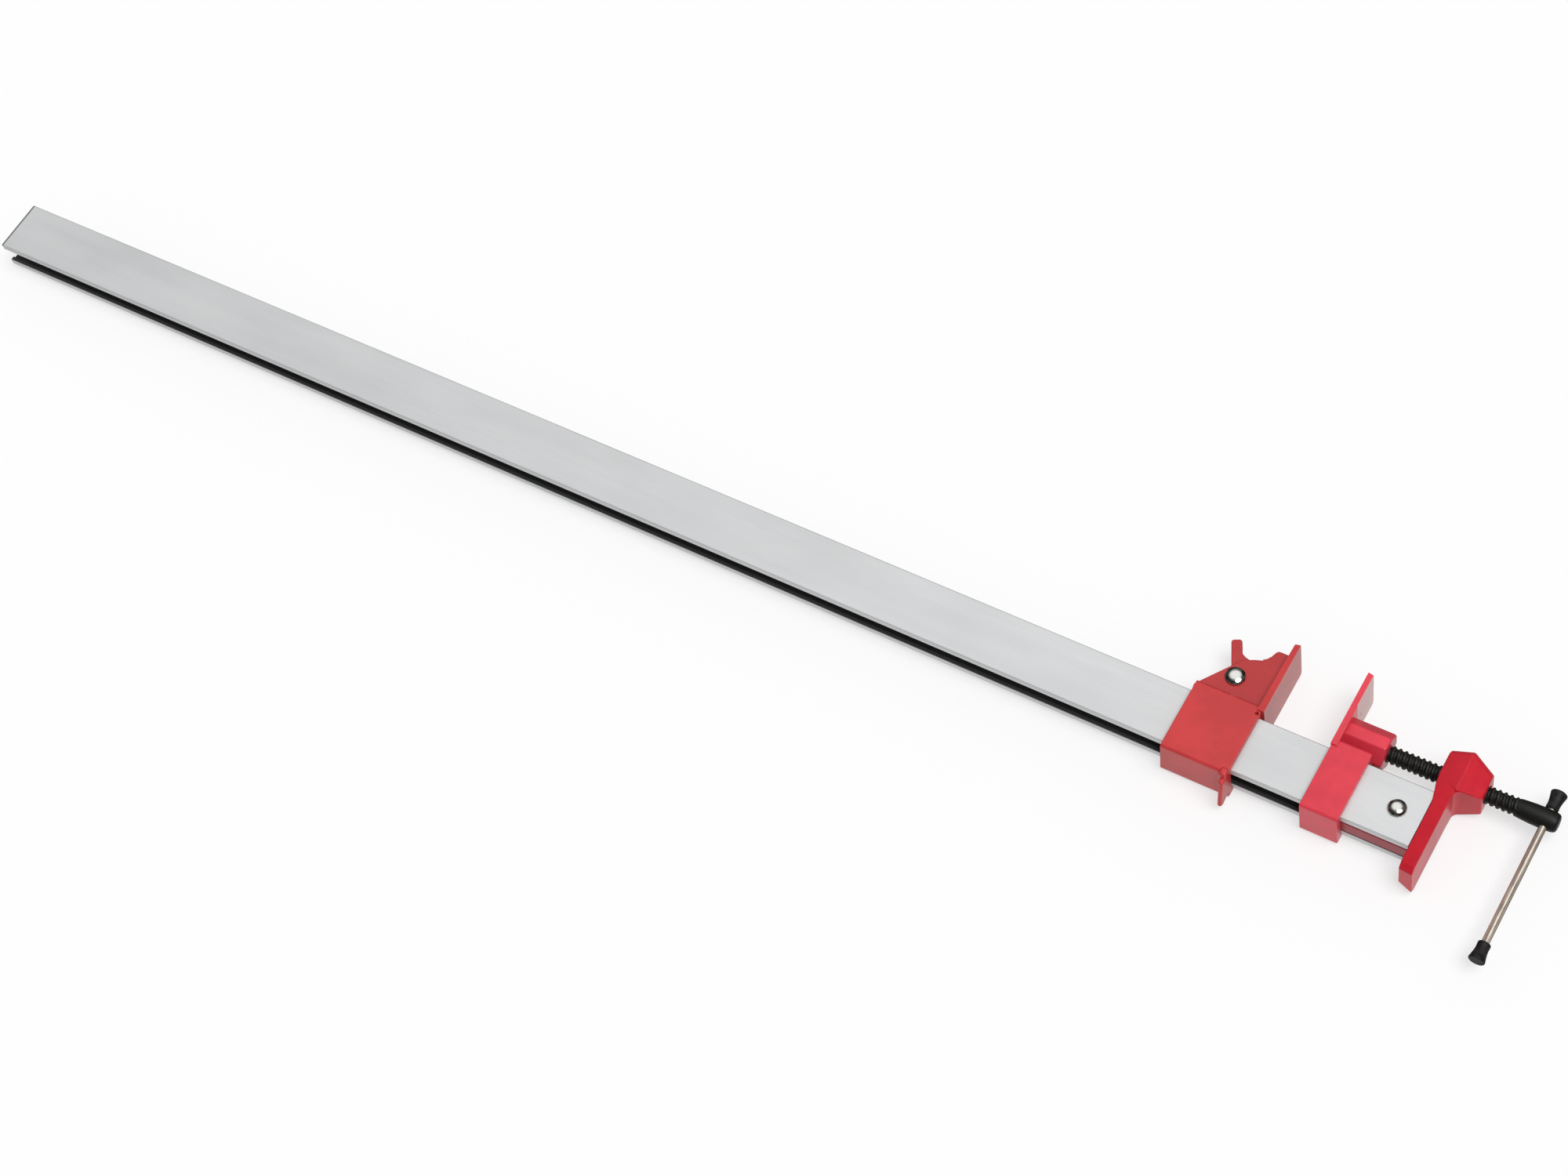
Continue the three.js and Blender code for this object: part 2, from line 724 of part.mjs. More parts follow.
// End bracket
function makeBracket() {
  const under = barEdge + bossUnderside;
  const plateTop = barEdge + bracketHeadAtParting;
  const plate = loft([
    cutRectangle(
      bracketGap,
      -barEdge - bracketFootAtBar,
      barEdge + bracketHeadAtBar,
      bracketHalfWidthAtBar,
      bracketCut,
    ),
    cutRectangle(bracketPlate, -barEdge - bracketFootAtParting, plateTop, bracketHalfWidth, bracketCut),
  ]);
  const boss = loft([
    cutRectangle(
      -bossOverhang,
      barEdge + bossStartUnderside,
      barEdge + bossStartTop,
      bossStartHalfWidth,
      bossCut,
    ),
    cutRectangle(partingFromEnd, under, plateTop, bossHalfWidth, bossCut),
    cutRectangle(bossEnd, barEdge + bossEndUnderside, barEdge + bossEndTop, bossEndHalfWidth, bossCut),
    cutRectangle(
      bossEnd + bossRound,
      barEdge + bossEndUnderside + bossRound,
      barEdge + bossEndTop - bossRound,
      bossEndHalfWidth - bossRound,
      bossCut,
    ),
  ]);
  const web = new THREE.Shape();
  web.moveTo(bracketPlate - overrun, under + overrun);
  web.lineTo(bracketPlate - overrun, under - filletRadius);
  web.lineTo(bracketPlate, under - filletRadius);
  web.absarc(bracketPlate + filletRadius, under - filletRadius, filletRadius, Math.PI, Math.PI / 2, true);
  web.lineTo(bracketPlate + filletRadius, under + overrun);
  const fillet = slab(web, bossCut - bossHalfWidth, bossHalfWidth - bossCut);
  const channelHalf = barFace - barWall - slideGap;
  const tongue = block(
    [-tongueLength, bracketGap + overrun],
    [barLip + slideGap - barEdge, barEdge - barWall - slideGap],
    [-channelHalf, channelHalf],
  );
  const ribHalf = barSlot / 2 - seatGap;
  const rib = block(
    [-tongueLength, bracketGap + overrun],
    [-barEdge, barLip + overrun - barEdge],
    [-ribHalf, ribHalf],
  );
  const boreEnd = bossEnd + bossRound + overrun;
  const bore = rod("x", screwMajor + 2 * seatGap, -bossOverhang - overrun, boreEnd, [0, screwY, 0], fineSides);
  const hole = rod("z", rivetShank + 2 * seatGap, -barFace - overrun, barFace + overrun, [
    -bracketRivetFromEnd,
    0,
    0,
  ]);
  return cut(join(plate, boss, fillet, tongue, rib), bore, hole);
}

// Assembly
const lever = mesh("lock_lever", makeLever(), red);
lever.position.set(pivotX, pivotY, 0);
const path = springPath();
console.log("least gap of the spring to itself", springSelfGap(path).toFixed(3), "mm");
const spring = mesh("lever_spring", tube(path, springWire, wireSides), springSteel);
spring.position.set(pivotX, pivotY, 0);

const tail = new THREE.Group();
tail.add(
  mesh("tail_jaw", makeTailJaw(), red),
  lever,
  mesh("lever_rivet", makeRivet(pivotX, pivotY, cheekHalfWidth), chrome),
  spring,
);

const head = new THREE.Group();
head.add(
  mesh("head_jaw", makeHeadJaw(), red),
  mesh("screw_retaining_pin", makeRetainingPin(), brightSteel),
  mesh("screw", makeScrew(), blackSteel),
  mesh("handle_bar", makeHandleBar(), brightSteel),
  mesh("handle_cap_upper", makeCap(handleTop, 1), rubber),
  mesh("handle_cap_lower", makeCap(handleBottom, -1), rubber),
);

const clamp = new THREE.Group();
clamp.add(
  mesh("bar", makeBar(), aluminium),
  mesh("end_bracket", makeBracket(), red),
  mesh("bracket_rivet", makeRivet(-bracketRivetFromEnd, 0, barFace), chrome),
  head,
  tail,
);

// The clamp lies on its side: zero moves to the middle of its length and reach, on the surface
const middleX = (hubEnd - barLength) / 2;
const middleY = (barEdge + tailReach + handleBottom) / 2;
clamp.position.set(-middleX, -middleY, jawHalfWidth);

const part = new THREE.Group();
part.add(clamp);
export default part;
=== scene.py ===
import math

import bpy
from mathutils import Matrix, Vector


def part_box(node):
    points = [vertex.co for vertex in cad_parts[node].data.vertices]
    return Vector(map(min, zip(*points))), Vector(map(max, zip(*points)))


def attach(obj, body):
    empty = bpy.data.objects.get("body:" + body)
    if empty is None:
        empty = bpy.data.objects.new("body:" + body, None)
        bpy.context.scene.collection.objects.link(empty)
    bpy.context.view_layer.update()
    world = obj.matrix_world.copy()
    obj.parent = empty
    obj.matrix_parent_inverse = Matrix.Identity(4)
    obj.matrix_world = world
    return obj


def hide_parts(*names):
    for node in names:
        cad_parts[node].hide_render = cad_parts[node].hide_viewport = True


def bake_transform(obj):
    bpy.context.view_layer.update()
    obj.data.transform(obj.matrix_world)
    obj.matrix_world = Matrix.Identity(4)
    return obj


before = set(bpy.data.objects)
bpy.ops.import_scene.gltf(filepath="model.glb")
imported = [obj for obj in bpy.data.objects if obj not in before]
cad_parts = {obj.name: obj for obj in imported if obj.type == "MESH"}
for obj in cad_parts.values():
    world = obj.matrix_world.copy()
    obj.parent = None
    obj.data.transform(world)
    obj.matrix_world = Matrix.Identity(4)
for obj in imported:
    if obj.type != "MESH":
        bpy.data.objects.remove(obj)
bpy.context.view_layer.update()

MM = 0.001
bar_low, bar_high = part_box("bar")
ZERO = Vector((bar_high.x, (bar_low.y + bar_high.y) / 2, (bar_low.z + bar_high.z) / 2))

# Bar
BAR_LENGTH = 1066.8
BAR_EDGE = 19.05
BAR_FACE = 11.1
BAR_WALL = 3.2
BAR_LIP = 3
SLOT_HALF = 6.1
RIB_HALF = 5.1
NOTCH_FIRST = 119.6
NOTCH_PITCH = 25.4
NOTCH_COUNT = 37
NOTCH_HALF_LENGTH = 4.5
NOTCH_HALF_WIDTH = 5.8

# Play of what slides and of what is seated, and how far a cutter reaches past what it cuts
SLIDE = 0.4
SEAT = 0.05
OVER = 2

# Collars and jaw plates
COLLAR_EDGE = 24.05
COLLAR_FACE = 15.5
COLLAR_CORNER = 2.1
PLATE_HALF = 17
PLATE_DRAFT = 0.5

# Tail jaw and its lever; what is joined to the jaw's plate ends inside it
TAIL_FACE = -108.5
TAIL_COLLAR = (-155.4, -110.5)
TAIL_TIP = 70.9
PIVOT = (-135.5, 38.0)
CHEEK_HALF = 11
CHEEK_SLOT_HALF = 6
CHEEK_TOP = 64.5
IN_TAIL_PLATE = -110.4
TOOTH_LOW = 19.35
TOOTH_TOP = 26.35
LEVER_RADIUS = 6.5
LEVER_HALF = 5.4
FINGER_HALF = 4
FINGER_LEAN = 26

# Head jaw
HEAD_FACE = -65.6
HEAD_COLLAR = (-65.2, -41.4)
HEAD_TIP = 71.2
BOSS_HALF = 11.55
BOSS_CORNER = 7.8
BOSS_END = -36
PIN_SPOT = (-46.8, 31.0)
PIN_RADIUS = 1.3
PIN_PLAY = 0.3
PIN_TOP = 6.25

# Bracket
TONGUE_START = -52
BRACKET_BORE = 5.8

# Screw and handle
SCREW_Y = 35.2
TIP_END = -54.4
TIP_RADIUS = 4.4
TIP_PLAY = 0.3
GROOVE = (-48.5, -45.1)
GROOVE_RADIUS = 2.6
THREAD_END = 43.6
THREAD_CORE = 4.5
THREAD_CREST = 5.5
PITCH = 3.6
HUB_END = 67.6
HANDLE_X = 60.4
HANDLE_RADIUS = 2.4
HANDLE_PLAY = 0.3
HANDLE_TOP = 53.4
HANDLE_BOTTOM = -62.1
CAP_LENGTH = 11.7
CAP_BORE = 9

# Rivets
LEVER_RIVET_RADIUS = 6.3
BRACKET_RIVET_RADIUS = 5.7
RIVET_HEIGHT = 2.7
RIVET_EDGE = 0.15
RIVET_LIFT = 0.3
BRACKET_RIVET_X = -15.3
SHANK_RADIUS = 3
SHANK_BORE = 3.3

# The way each axis is reached from an upright primitive
TURN = {"x": (0, math.pi / 2, 0), "y": (-math.pi / 2, 0, 0), "z": (0, 0, 0)}


def spot(x, y, z):
    """A place in the frame from its millimetres."""
    return ZERO + Vector((x, y, z)) * MM


def deselect():
    """Leaves edit mode and selects nothing."""
    if bpy.context.object and bpy.context.object.mode == "EDIT":
        bpy.ops.object.mode_set(mode="OBJECT")
    bpy.ops.object.select_all(action="DESELECT")


def only(piece):
    """Selects one piece and makes it active."""
    deselect()
    piece.select_set(True)
    bpy.context.view_layer.objects.active = piece


def settle(name):
    """Names the new primitive and puts its place into its mesh."""
    piece = bpy.context.object
    piece.name = name
    bpy.ops.object.transform_apply(location=True, rotation=True, scale=True)
    return piece


def block(name, x, y, z):
    """A box, given by its two ends on each axis."""
    low, high = spot(x[0], y[0], z[0]), spot(x[1], y[1], z[1])
    deselect()
    bpy.ops.mesh.primitive_cube_add(size=1, location=(low + high) / 2)
    bpy.context.object.scale = high - low
    return settle(name)


def rod(name, axis, radius, start, end, centre, sides=48):
    """A cylinder from start to end on one axis, through a centre on the other two."""
    deselect()
    bpy.ops.mesh.primitive_cylinder_add(
        vertices=sides, radius=radius * MM, depth=(end - start) * MM
    )
    settle(name)
    middle = list(centre)
    middle["xyz".index(axis)] = (start + end) / 2
    bpy.context.object.rotation_euler = TURN[axis]
    bpy.context.object.location = spot(*middle)
    return settle(name)


def pick(piece, kind, test):
    """Opens the piece for editing, with only what passes the test selected. The test gets the
    middle of each vertex, edge or face in millimetres, and an edge's direction or face's normal."""
    only(piece)
    bpy.ops.object.mode_set(mode="EDIT")
    bpy.ops.mesh.select_mode(type=kind)
    bpy.ops.mesh.select_all(action="DESELECT")
    bpy.ops.object.mode_set(mode="OBJECT")
    mesh = piece.data
    places = [(vertex.co - ZERO) / MM for vertex in mesh.vertices]
    if kind == "VERT":
        for vertex, place in zip(mesh.vertices, places):
            vertex.select = test(place)
    elif kind == "EDGE":
        for edge in mesh.edges:
            one, other = (places[i] for i in edge.vertices)
            edge.select = test((one + other) / 2, (other - one).normalized())
    else:
        for face in mesh.polygons:
            face.select = test((face.center - ZERO) / MM, face.normal)
    bpy.ops.object.mode_set(mode="EDIT")


def bevel(piece, width, steps, test):
    """Bevels the edges that pass a test."""
    pick(piece, "EDGE", test)
    bpy.ops.mesh.bevel(offset=width * MM, segments=steps, affect="EDGES", clamp_overlap=True)
    bpy.ops.object.mode_set(mode="OBJECT")
    return piece


def along(axis, within=lambda place: True):
    """A test for edges that run mostly along one axis, with their middle within a region."""
    index = "xyz".index(axis)
    return lambda place, way: abs(way[index]) > 0.75 and within(place)


def facing(normal):
    """A test for faces that point one way."""
    return lambda place, face_normal: face_normal.dot(Vector(normal)) > 0.99


def fit_face(piece, normal, low, high, extrude=False):
    """Makes the face that points one way, or a new one extruded from it, fill a box's side."""
    pick(piece, "FACE", facing(normal))
    if extrude:
        bpy.ops.mesh.extrude_region_move()
    corners = selected_corners(piece)
    old_low, old_high = bounds_of(corners)
    new_low, new_high = spot(*low), spot(*high)
    old_size, new_size = old_high - old_low, new_high - new_low
    factors = [new / old if old > 1e-6 else 1 for new, old in zip(new_size, old_size)]
    middle = (old_low + old_high) / 2
    bpy.ops.transform.resize(value=factors, center_override=middle)
    bpy.ops.transform.translate(value=(new_low + new_high) / 2 - middle)
    bpy.ops.object.mode_set(mode="OBJECT")
    return piece


def selected_corners(piece):
    """Where the selected vertices are, read outside edit mode."""
    bpy.ops.object.mode_set(mode="OBJECT")
    corners = [vertex.co.copy() for vertex in piece.data.vertices if vertex.select]
    bpy.ops.object.mode_set(mode="EDIT")
    return corners


def bounds_of(points):
    """The lowest and the highest corner of the box round some points."""
    low = Vector(min(point[i] for point in points) for i in range(3))
    high = Vector(max(point[i] for point in points) for i in range(3))
    return low, high


def trim(piece, place, normal):
    """Cuts away what lies beyond a plane and closes the cut."""
    only(piece)
    bpy.ops.object.mode_set(mode="EDIT")
    bpy.ops.mesh.select_all(action="SELECT")
    bpy.ops.mesh.bisect(
        plane_co=spot(*place), plane_no=Vector(normal).normalized(), use_fill=True, clear_outer=True
    )
    bpy.ops.object.mode_set(mode="OBJECT")
    return piece


def apply_modifier(piece, kind, **settings):
    """Adds a modifier, sets it and applies it."""
    only(piece)
    modifier = piece.modifiers.new(kind.lower(), kind)
    for name, value in settings.items():
        setattr(modifier, name, value)
    bpy.ops.object.modifier_apply(modifier=modifier.name)
    return piece


def combine(piece, operation, others):
    """Joins other shapes to a piece or cuts them out of it, and removes them."""
    for other in others:
        apply_modifier(piece, "BOOLEAN", operation=operation, object=other, solver="EXACT")
        bpy.data.objects.remove(other)
    return piece


def join(piece, *others):
    """Joins other shapes to a piece."""
    return combine(piece, "UNION", others)


def cut(piece, *others):
    """Cuts other shapes out of a piece."""
    return combine(piece, "DIFFERENCE", others)


def soften(piece, width, steps=3, angle=28):
    """Rounds every edge that is sharper than an angle."""
    return apply_modifier(
        piece,
        "BEVEL",
        width=width * MM,
        segments=steps,
        limit_method="ANGLE",
        angle_limit=math.radians(angle),
        use_clamp_overlap=True,
    )


def smooth(piece, angle=32):
    """Shades a finished piece smoothly, except across sharp edges."""
    only(piece)
    bpy.ops.object.shade_smooth_by_angle(angle=math.radians(angle))
    apply_modifier(piece, "WEIGHTED_NORMAL", keep_sharp=True, weight=80)
    return piece


def turned(name, axis, centre, profile, sides=64):
    """A turned shape, drawn out ring by ring through pairs of radius and place on the axis."""
    index = "xyz".index(axis)
    radius, place = profile[0]
    start = list(centre)
    start[index] = place
    deselect()
    bpy.ops.mesh.primitive_circle_add(
        vertices=sides,
        radius=radius * MM,
        fill_type="NGON",
        location=spot(*start),
        rotation=TURN[axis],
    )
    piece = settle(name)
    bpy.ops.object.mode_set(mode="EDIT")
    bpy.ops.mesh.select_mode(type="FACE")
    bpy.ops.mesh.select_all(action="SELECT")
    for next_radius, next_place in profile[1:]:
        bpy.ops.mesh.extrude_region_move()
        shift, factors = [0, 0, 0], [next_radius / radius] * 3
        shift[index], factors[index] = (next_place - place) * MM, 1
        bpy.ops.transform.translate(value=shift)
        middle = list(centre)
        middle[index] = next_place
        bpy.ops.transform.resize(value=factors, center_override=spot(*middle))
        radius, place = next_radius, next_place
    bpy.ops.mesh.select_all(action="SELECT")
    bpy.ops.mesh.normals_make_consistent(inside=False)
    bpy.ops.object.mode_set(mode="OBJECT")
    return piece


def shank_hole(x, y, reach=13):
    """A cutter for the hole that a rivet goes through."""
    return rod("hole", "z", radius=SHANK_BORE, start=-reach, end=reach, centre=(x, y, 0))


def inner_corner(name, x, y, half, radius, centre):
    """A block with a hollow cut out of it, which rounds off an inner corner."""
    corner = block(name, x=x, y=y, z=(-half, half))
    hollow = rod("hollow", "z", radius=radius, start=-16, end=16, centre=(*centre, 0), sides=64)
    return cut(corner, hollow)


# Finishes


class Value:
    """A socket that takes part in Python expressions; each operation adds its Math node."""

    def __init__(self, nodes, socket):
        self.nodes = nodes
        self.socket = socket

    def __add__(self, other):
        return self.nodes.maths("ADD", self, other)

    def __sub__(self, other):
        return self.nodes.maths("SUBTRACT", self, other)

    def __rsub__(self, other):
        return self.nodes.maths("SUBTRACT", other, self)

    def __mul__(self, other):
        return self.nodes.maths("MULTIPLY", self, other)

    def __pow__(self, other):
        return self.nodes.maths("POWER", self, other)

    __radd__ = __add__
    __rmul__ = __mul__


class Nodes:
    """A node tree that is written as Python expressions."""

    def __init__(self, tree):
        self.tree = tree

    def node(self, kind, inputs, output=0, **settings):
        """Adds a node, makes its settings and then feeds its sockets."""
        made = self.tree.nodes.new("ShaderNode" + kind)
        for name, value in settings.items():
            setattr(made, name, value)
        for name, value in inputs.items():
            self.feed(made.inputs[name], value)
        return Value(self, made.outputs[output])

    def feed(self, socket, value):
        """Links a value to a socket, or writes a constant into it."""
        if isinstance(value, Value):
            self.tree.links.new(value.socket, socket)
        else:
            socket.default_value = value

    def maths(self, operation, one, other):
        """A Math node on two numbers or values."""
        return self.node("Math", {0: one, 1: other}, operation=operation)

    def spread(self, value, low, high):
        """What lies from low to high, stretched from 0 to 1."""
        inputs = {"Value": value, "From Min": low, "From Max": high}
        return self.node("MapRange", inputs, interpolation_type="SMOOTHSTEP", clamp=True)

    def parts(self, vector):
        """A vector's x, y and z."""
        return [self.node("SeparateXYZ", {"Vector": vector}, output=part) for part in "XYZ"]


class Finish(Nodes):
    """One material: its shader's constants first, then what its nodes feed."""

    def __init__(self, name, **constants):
        self.material = bpy.data.materials.new(name)
        self.material.use_nodes = True
        super().__init__(self.material.node_tree)
        self.shader = self.tree.nodes["Principled BSDF"]
        for socket, value in constants.items():
            self.shader.inputs[socket.replace("_", " ")].default_value = value

    def place(self, centre=(0, 0, 0), scale=(1, 1, 1)):
        """Object coordinates about a centre, stretched by a scale."""
        coordinates = self.node("TexCoord", {}, output="Object")
        shift = [-value * factor for value, factor in zip(centre, scale)]
        return self.node("Mapping", {"Vector": coordinates, "Location": shift, "Scale": scale})

    def noise(self, size, scale=(1, 1, 1), detail=3, roughness=0.5):
        """Noise of a grain size in millimetres, from 0 to 1."""
        inputs = {"Vector": self.place(scale=scale), "Scale": 1000 / size, "Detail": detail}
        return self.node("TexNoise", {**inputs, "Roughness": roughness}, output="Fac")

    def rise(self, value, low, high):
        """0 at one place in millimetres, growing to 1 at another."""
        return self.spread(value, low * MM, high * MM)

    def window(self, value, low, high, edge=0.3):
        """1 between two places in millimetres, fading out over an edge beyond them."""
        return self.rise(value, low - edge, low) * (1 - self.rise(value, high, high + edge))

    def blend(self, factor, one, other):
        """A colour between two, where a factor of 1 gives the other."""
        inputs = {"Factor": factor, 6: one, 7: other}
        return self.node("Mix", inputs, output=2, data_type="RGBA")

    def bump(self, height, distance):
        """Relief of a height from 0 to 1, a distance in millimetres deep."""
        inputs = {"Height": height, "Distance": distance * MM, "Strength": 1}
        return self.node("Bump", inputs)

    def set(self, **sockets):
        """Feeds the shader's sockets and hands over the finished material."""
        for socket, value in sockets.items():
            self.feed(self.shader.inputs[socket.replace("_", " ")], value)
        return self.material


def shade(colour, factor):
    """A colour made darker or paler, as an opaque one."""
    return [channel * factor for channel in colour[:3]] + [1]


def extruded_aluminium():
    """Pale drawn metal, grey at its cut end, with painted shade: grey on the rims of its notched
    edge and black inside the channel.
    """
    finish = Finish("extruded_aluminium", Metallic=0.45, IOR=1.45)
    draw_lines = finish.noise(size=0.5, scale=(0.004, 1, 1), detail=4, roughness=0.6)
    long_bands = finish.noise(size=9, scale=(0.03, 1, 1), detail=2)
    clouds = finish.noise(size=26, scale=(0.35, 1, 1), detail=4)
    grain = finish.noise(size=0.35, detail=2)
    tone = draw_lines * 0.35 + long_bands * 0.2 + clouds * 0.55 + grain * 0.12
    darker_tone, bright = (0.62, 0.63, 0.635, 1), (0.72, 0.725, 0.73, 1)
    grey, black = (0.16, 0.16, 0.17, 1), (0.045, 0.047, 0.045, 1)
    colour = finish.blend(finish.spread(tone, 0.35, 0.9), darker_tone, bright)
    along_bar, across, out = finish.parts(finish.place(centre=ZERO))
    away = finish.maths("ABSOLUTE", out, 0)
    depth = 1 - finish.rise(away, 8, 9)
    # Painted shade: the inside of the channel and the walls of the slot are made black and lose
    # their shine.
    inside = finish.window(across, BAR_LIP - BAR_EDGE, BAR_EDGE - BAR_WALL) * depth
    slot = 1 - finish.rise(away, SLOT_HALF + 0.1, SLOT_HALF + 0.4)
    slot = slot * (1 - finish.rise(across, 9 - BAR_EDGE, 11 - BAR_EDGE))
    slot = slot * finish.rise(across, 0.05 - BAR_EDGE, 0.45 - BAR_EDGE)
    inside = finish.maths("MAXIMUM", inside, slot)
    # Painted shade: grey on the rims of the notched edge. The cut end is made grey as well.
    rim = finish.rise(across, BAR_EDGE - 0.65, BAR_EDGE - 0.25) * 0.7
    cut_end = (1 - finish.rise(along_bar, 1.1 - BAR_LENGTH, 1.7 - BAR_LENGTH)) * 0.95
    edges = finish.maths("MAXIMUM", rim, cut_end)
    edges = edges * finish.rise(away, BAR_FACE - 0.8, BAR_FACE - 0.5)
    return finish.set(
        Base_Color=finish.blend(inside, finish.blend(edges, colour, grey), black),
        Roughness=0.36 + draw_lines * 0.1 + clouds * 0.08 + inside * 0.3,
        Metallic=0.45 - inside * 0.45,
        Normal=finish.bump(draw_lines * 0.6 + grain * 0.4, distance=0.014),
    )


def casting_paint(name, colour, roughness, density=1.5, painted_shade=None, painted_sheen=None, painted_shadow=None):
    """Red paint on a casting. It can carry painted shade below a height, a painted pale sheen
    and a painted shadow, each within limits in millimetres and with a strength."""
    finish = Finish(name, Metallic=0.0, IOR=density, Coat_Roughness=0.12)
    pale, brown = (0.58, 0.38, 0.36, 1), (0.12, 0.045, 0.055, 1)
    orange_peel = finish.noise(size=1.6, detail=2)
    casting = finish.noise(size=6, detail=3)
    clouds = finish.noise(size=30, detail=2)
    specks = finish.noise(size=0.5, detail=1)
    tone = clouds * 0.6 + casting * 0.3 + specks * 0.1
    mixed = finish.blend(finish.spread(tone, 0.35, 0.65), shade(colour, 0.9), shade(colour, 1.08))
    along_bar, across, out = finish.parts(finish.place(centre=ZERO))
    # Painted shade: darker where a face lies below a height and past limits along and across the
    # bar, with a darker band just above the lower limit.
    if painted_shade:
        left, low, top = painted_shade["x_above"], painted_shade["y_above"], painted_shade["z_below"]
        under = 1 - finish.rise(out, top - 0.6, top)
        under = under * finish.rise(along_bar, left, left + 0.3)
        darker_tone = under * finish.rise(across, low, low + 0.7) * painted_shade["strength"]
        ridge_shade = under * finish.window(across, low + 0.8, low + 2, 0.7) * painted_shade["strength"]
        mixed = finish.blend(finish.maths("MINIMUM", darker_tone + ridge_shade, 1), mixed, shade(colour, 0.6))
    # Painted pale sheen on the faces past a place along the bar and above a height.
    if painted_sheen:
        left, low = painted_sheen["x_above"], painted_sheen["y_above"]
        lighter_mask = finish.rise(along_bar, left - 0.1, left + 0.1)
        lighter_mask = lighter_mask * finish.rise(across, low, low + 1) * painted_sheen["strength"]
        mixed = finish.blend(lighter_mask, mixed, pale)
    # Painted shadow: dark brown below a place along the bar and below a height across it.
    if painted_shadow:
        right, high = painted_shadow["x_below"], painted_shadow["y_below"]
        shadow_mask = 1 - finish.rise(along_bar, right - 0.2, right)
        shadow_mask = shadow_mask * (1 - finish.rise(across, high - 0.2, high)) * painted_shadow["strength"]
        mixed = finish.blend(shadow_mask, mixed, brown)
    height = casting * 0.6 + orange_peel * 0.3 + specks * 0.1
    return finish.set(
        Base_Color=mixed,
        Roughness=roughness + casting * 0.1 + specks * 0.05,
        Coat_Weight=0.1 + clouds * 0.15,
        Normal=finish.bump(height, distance=0.09),
    )


def black_screw():
    """Black oxide with scale marks, rubbed a little paler on the thread's crests."""
    finish = Finish("black_oxide", Metallic=0.35, IOR=1.5)
    along_axis, across, out = finish.parts(finish.place(centre=spot(0, SCREW_Y, 0)))
    radius = (across * across + out * out) ** 0.5
    scale_marks = finish.noise(size=1.1, detail=4, roughness=0.65)
    grain = finish.noise(size=0.3, detail=2)
    on_thread = finish.rise(along_axis, THREAD_END + 1, THREAD_END - 1)
    crest = finish.rise(radius, THREAD_CREST - 0.4, THREAD_CREST) * on_thread
    lighter_mask = finish.spread(scale_marks + grain * 0.3, 0.6, 0.78)
    tone = crest * lighter_mask * 0.5 + lighter_mask * 0.08
    black, grey = (0.007, 0.0072, 0.0065, 1), (0.07, 0.07, 0.062, 1)
    return finish.set(
        Base_Color=finish.blend(tone, black, grey),
        Roughness=0.42 + scale_marks * 0.2,
        Normal=finish.bump(scale_marks * 0.6 + grain * 0.4, distance=0.08),
    )


def bright_rod():
    """Drawn steel with long brown and bright streaks."""
    finish = Finish("drawn_steel", Metallic=0.7, IOR=1.5)
    lines = finish.noise(size=0.85, scale=(1, 0.006, 1), detail=3, roughness=0.6)
    broken = finish.noise(size=1.6, scale=(1, 0.14, 1), detail=3)
    tone = lines * 0.75 + broken * 0.25
    brown, bright = (0.18, 0.15, 0.12, 1), (0.82, 0.72, 0.61, 1)
    return finish.set(
        Base_Color=finish.blend(finish.spread(tone, 0.36, 0.58), brown, bright),
        Roughness=0.34 + broken * 0.15,
        Normal=finish.bump(tone, distance=0.03),
    )


def chrome_dome(name, centre, width):
    """Chrome with a painted dark reflection: an uneven dark ring, which lies at a share of the
    dome's width.
    """
    finish = Finish(name, Metallic=1.0)
    along_bar, across = finish.parts(finish.place(centre=centre))[:2]
    radius = (along_bar * along_bar + across * across) ** 0.5
    smear = finish.noise(size=3.2, detail=2)
    scuffs = finish.noise(size=0.6, detail=3)
    share = radius * (1 / width) + (smear - 0.5) * (0.28 * MM)
    patches = finish.spread(finish.noise(size=4.2, detail=1), 0.4, 0.58)
    # Painted dark reflection: a ring on the dome, broken up by patches.
    ring = finish.window(share, 0.72, 0.92, 0.12) * (0.25 + patches * 0.65)
    bright = finish.blend(scuffs, (0.86, 0.86, 0.8, 1), (0.74, 0.74, 0.7, 1))
    black = (0.02, 0.018, 0.012, 1)
    return finish.set(
        Base_Color=finish.blend(ring, bright, black),
        Roughness=0.07 + scuffs * 0.1,
        Normal=finish.bump(scuffs, distance=0.01),
    )


def moulded_rubber():
    """Black rubber with a faint grey bloom."""
    finish = Finish("moulded_rubber", Metallic=0.0, IOR=1.3)
    skin = finish.noise(size=0.7, detail=3)
    bloom = finish.noise(size=3.5, detail=3)
    black, grey = (0.009, 0.0092, 0.009, 1), (0.022, 0.022, 0.022, 1)
    return finish.set(
        Base_Color=finish.blend(finish.spread(bloom, 0.4, 0.7), black, grey),
        Roughness=0.4 + bloom * 0.22,
        Normal=finish.bump(skin, distance=0.06),
    )


def plain_steel(name, colour):
    """Bare steel with fine lines along z and faint stains."""
    finish = Finish(name, Metallic=1.0)
    lines = finish.noise(size=0.25, scale=(1, 1, 0.1), detail=3)
    stains = finish.noise(size=2, detail=2)
    return finish.set(
        Base_Color=finish.blend(stains, shade(colour, 0.7), shade(colour, 1.2)),
        Roughness=0.25 + lines * 0.2,
        Normal=finish.bump(lines, distance=0.02),
    )


# Bar


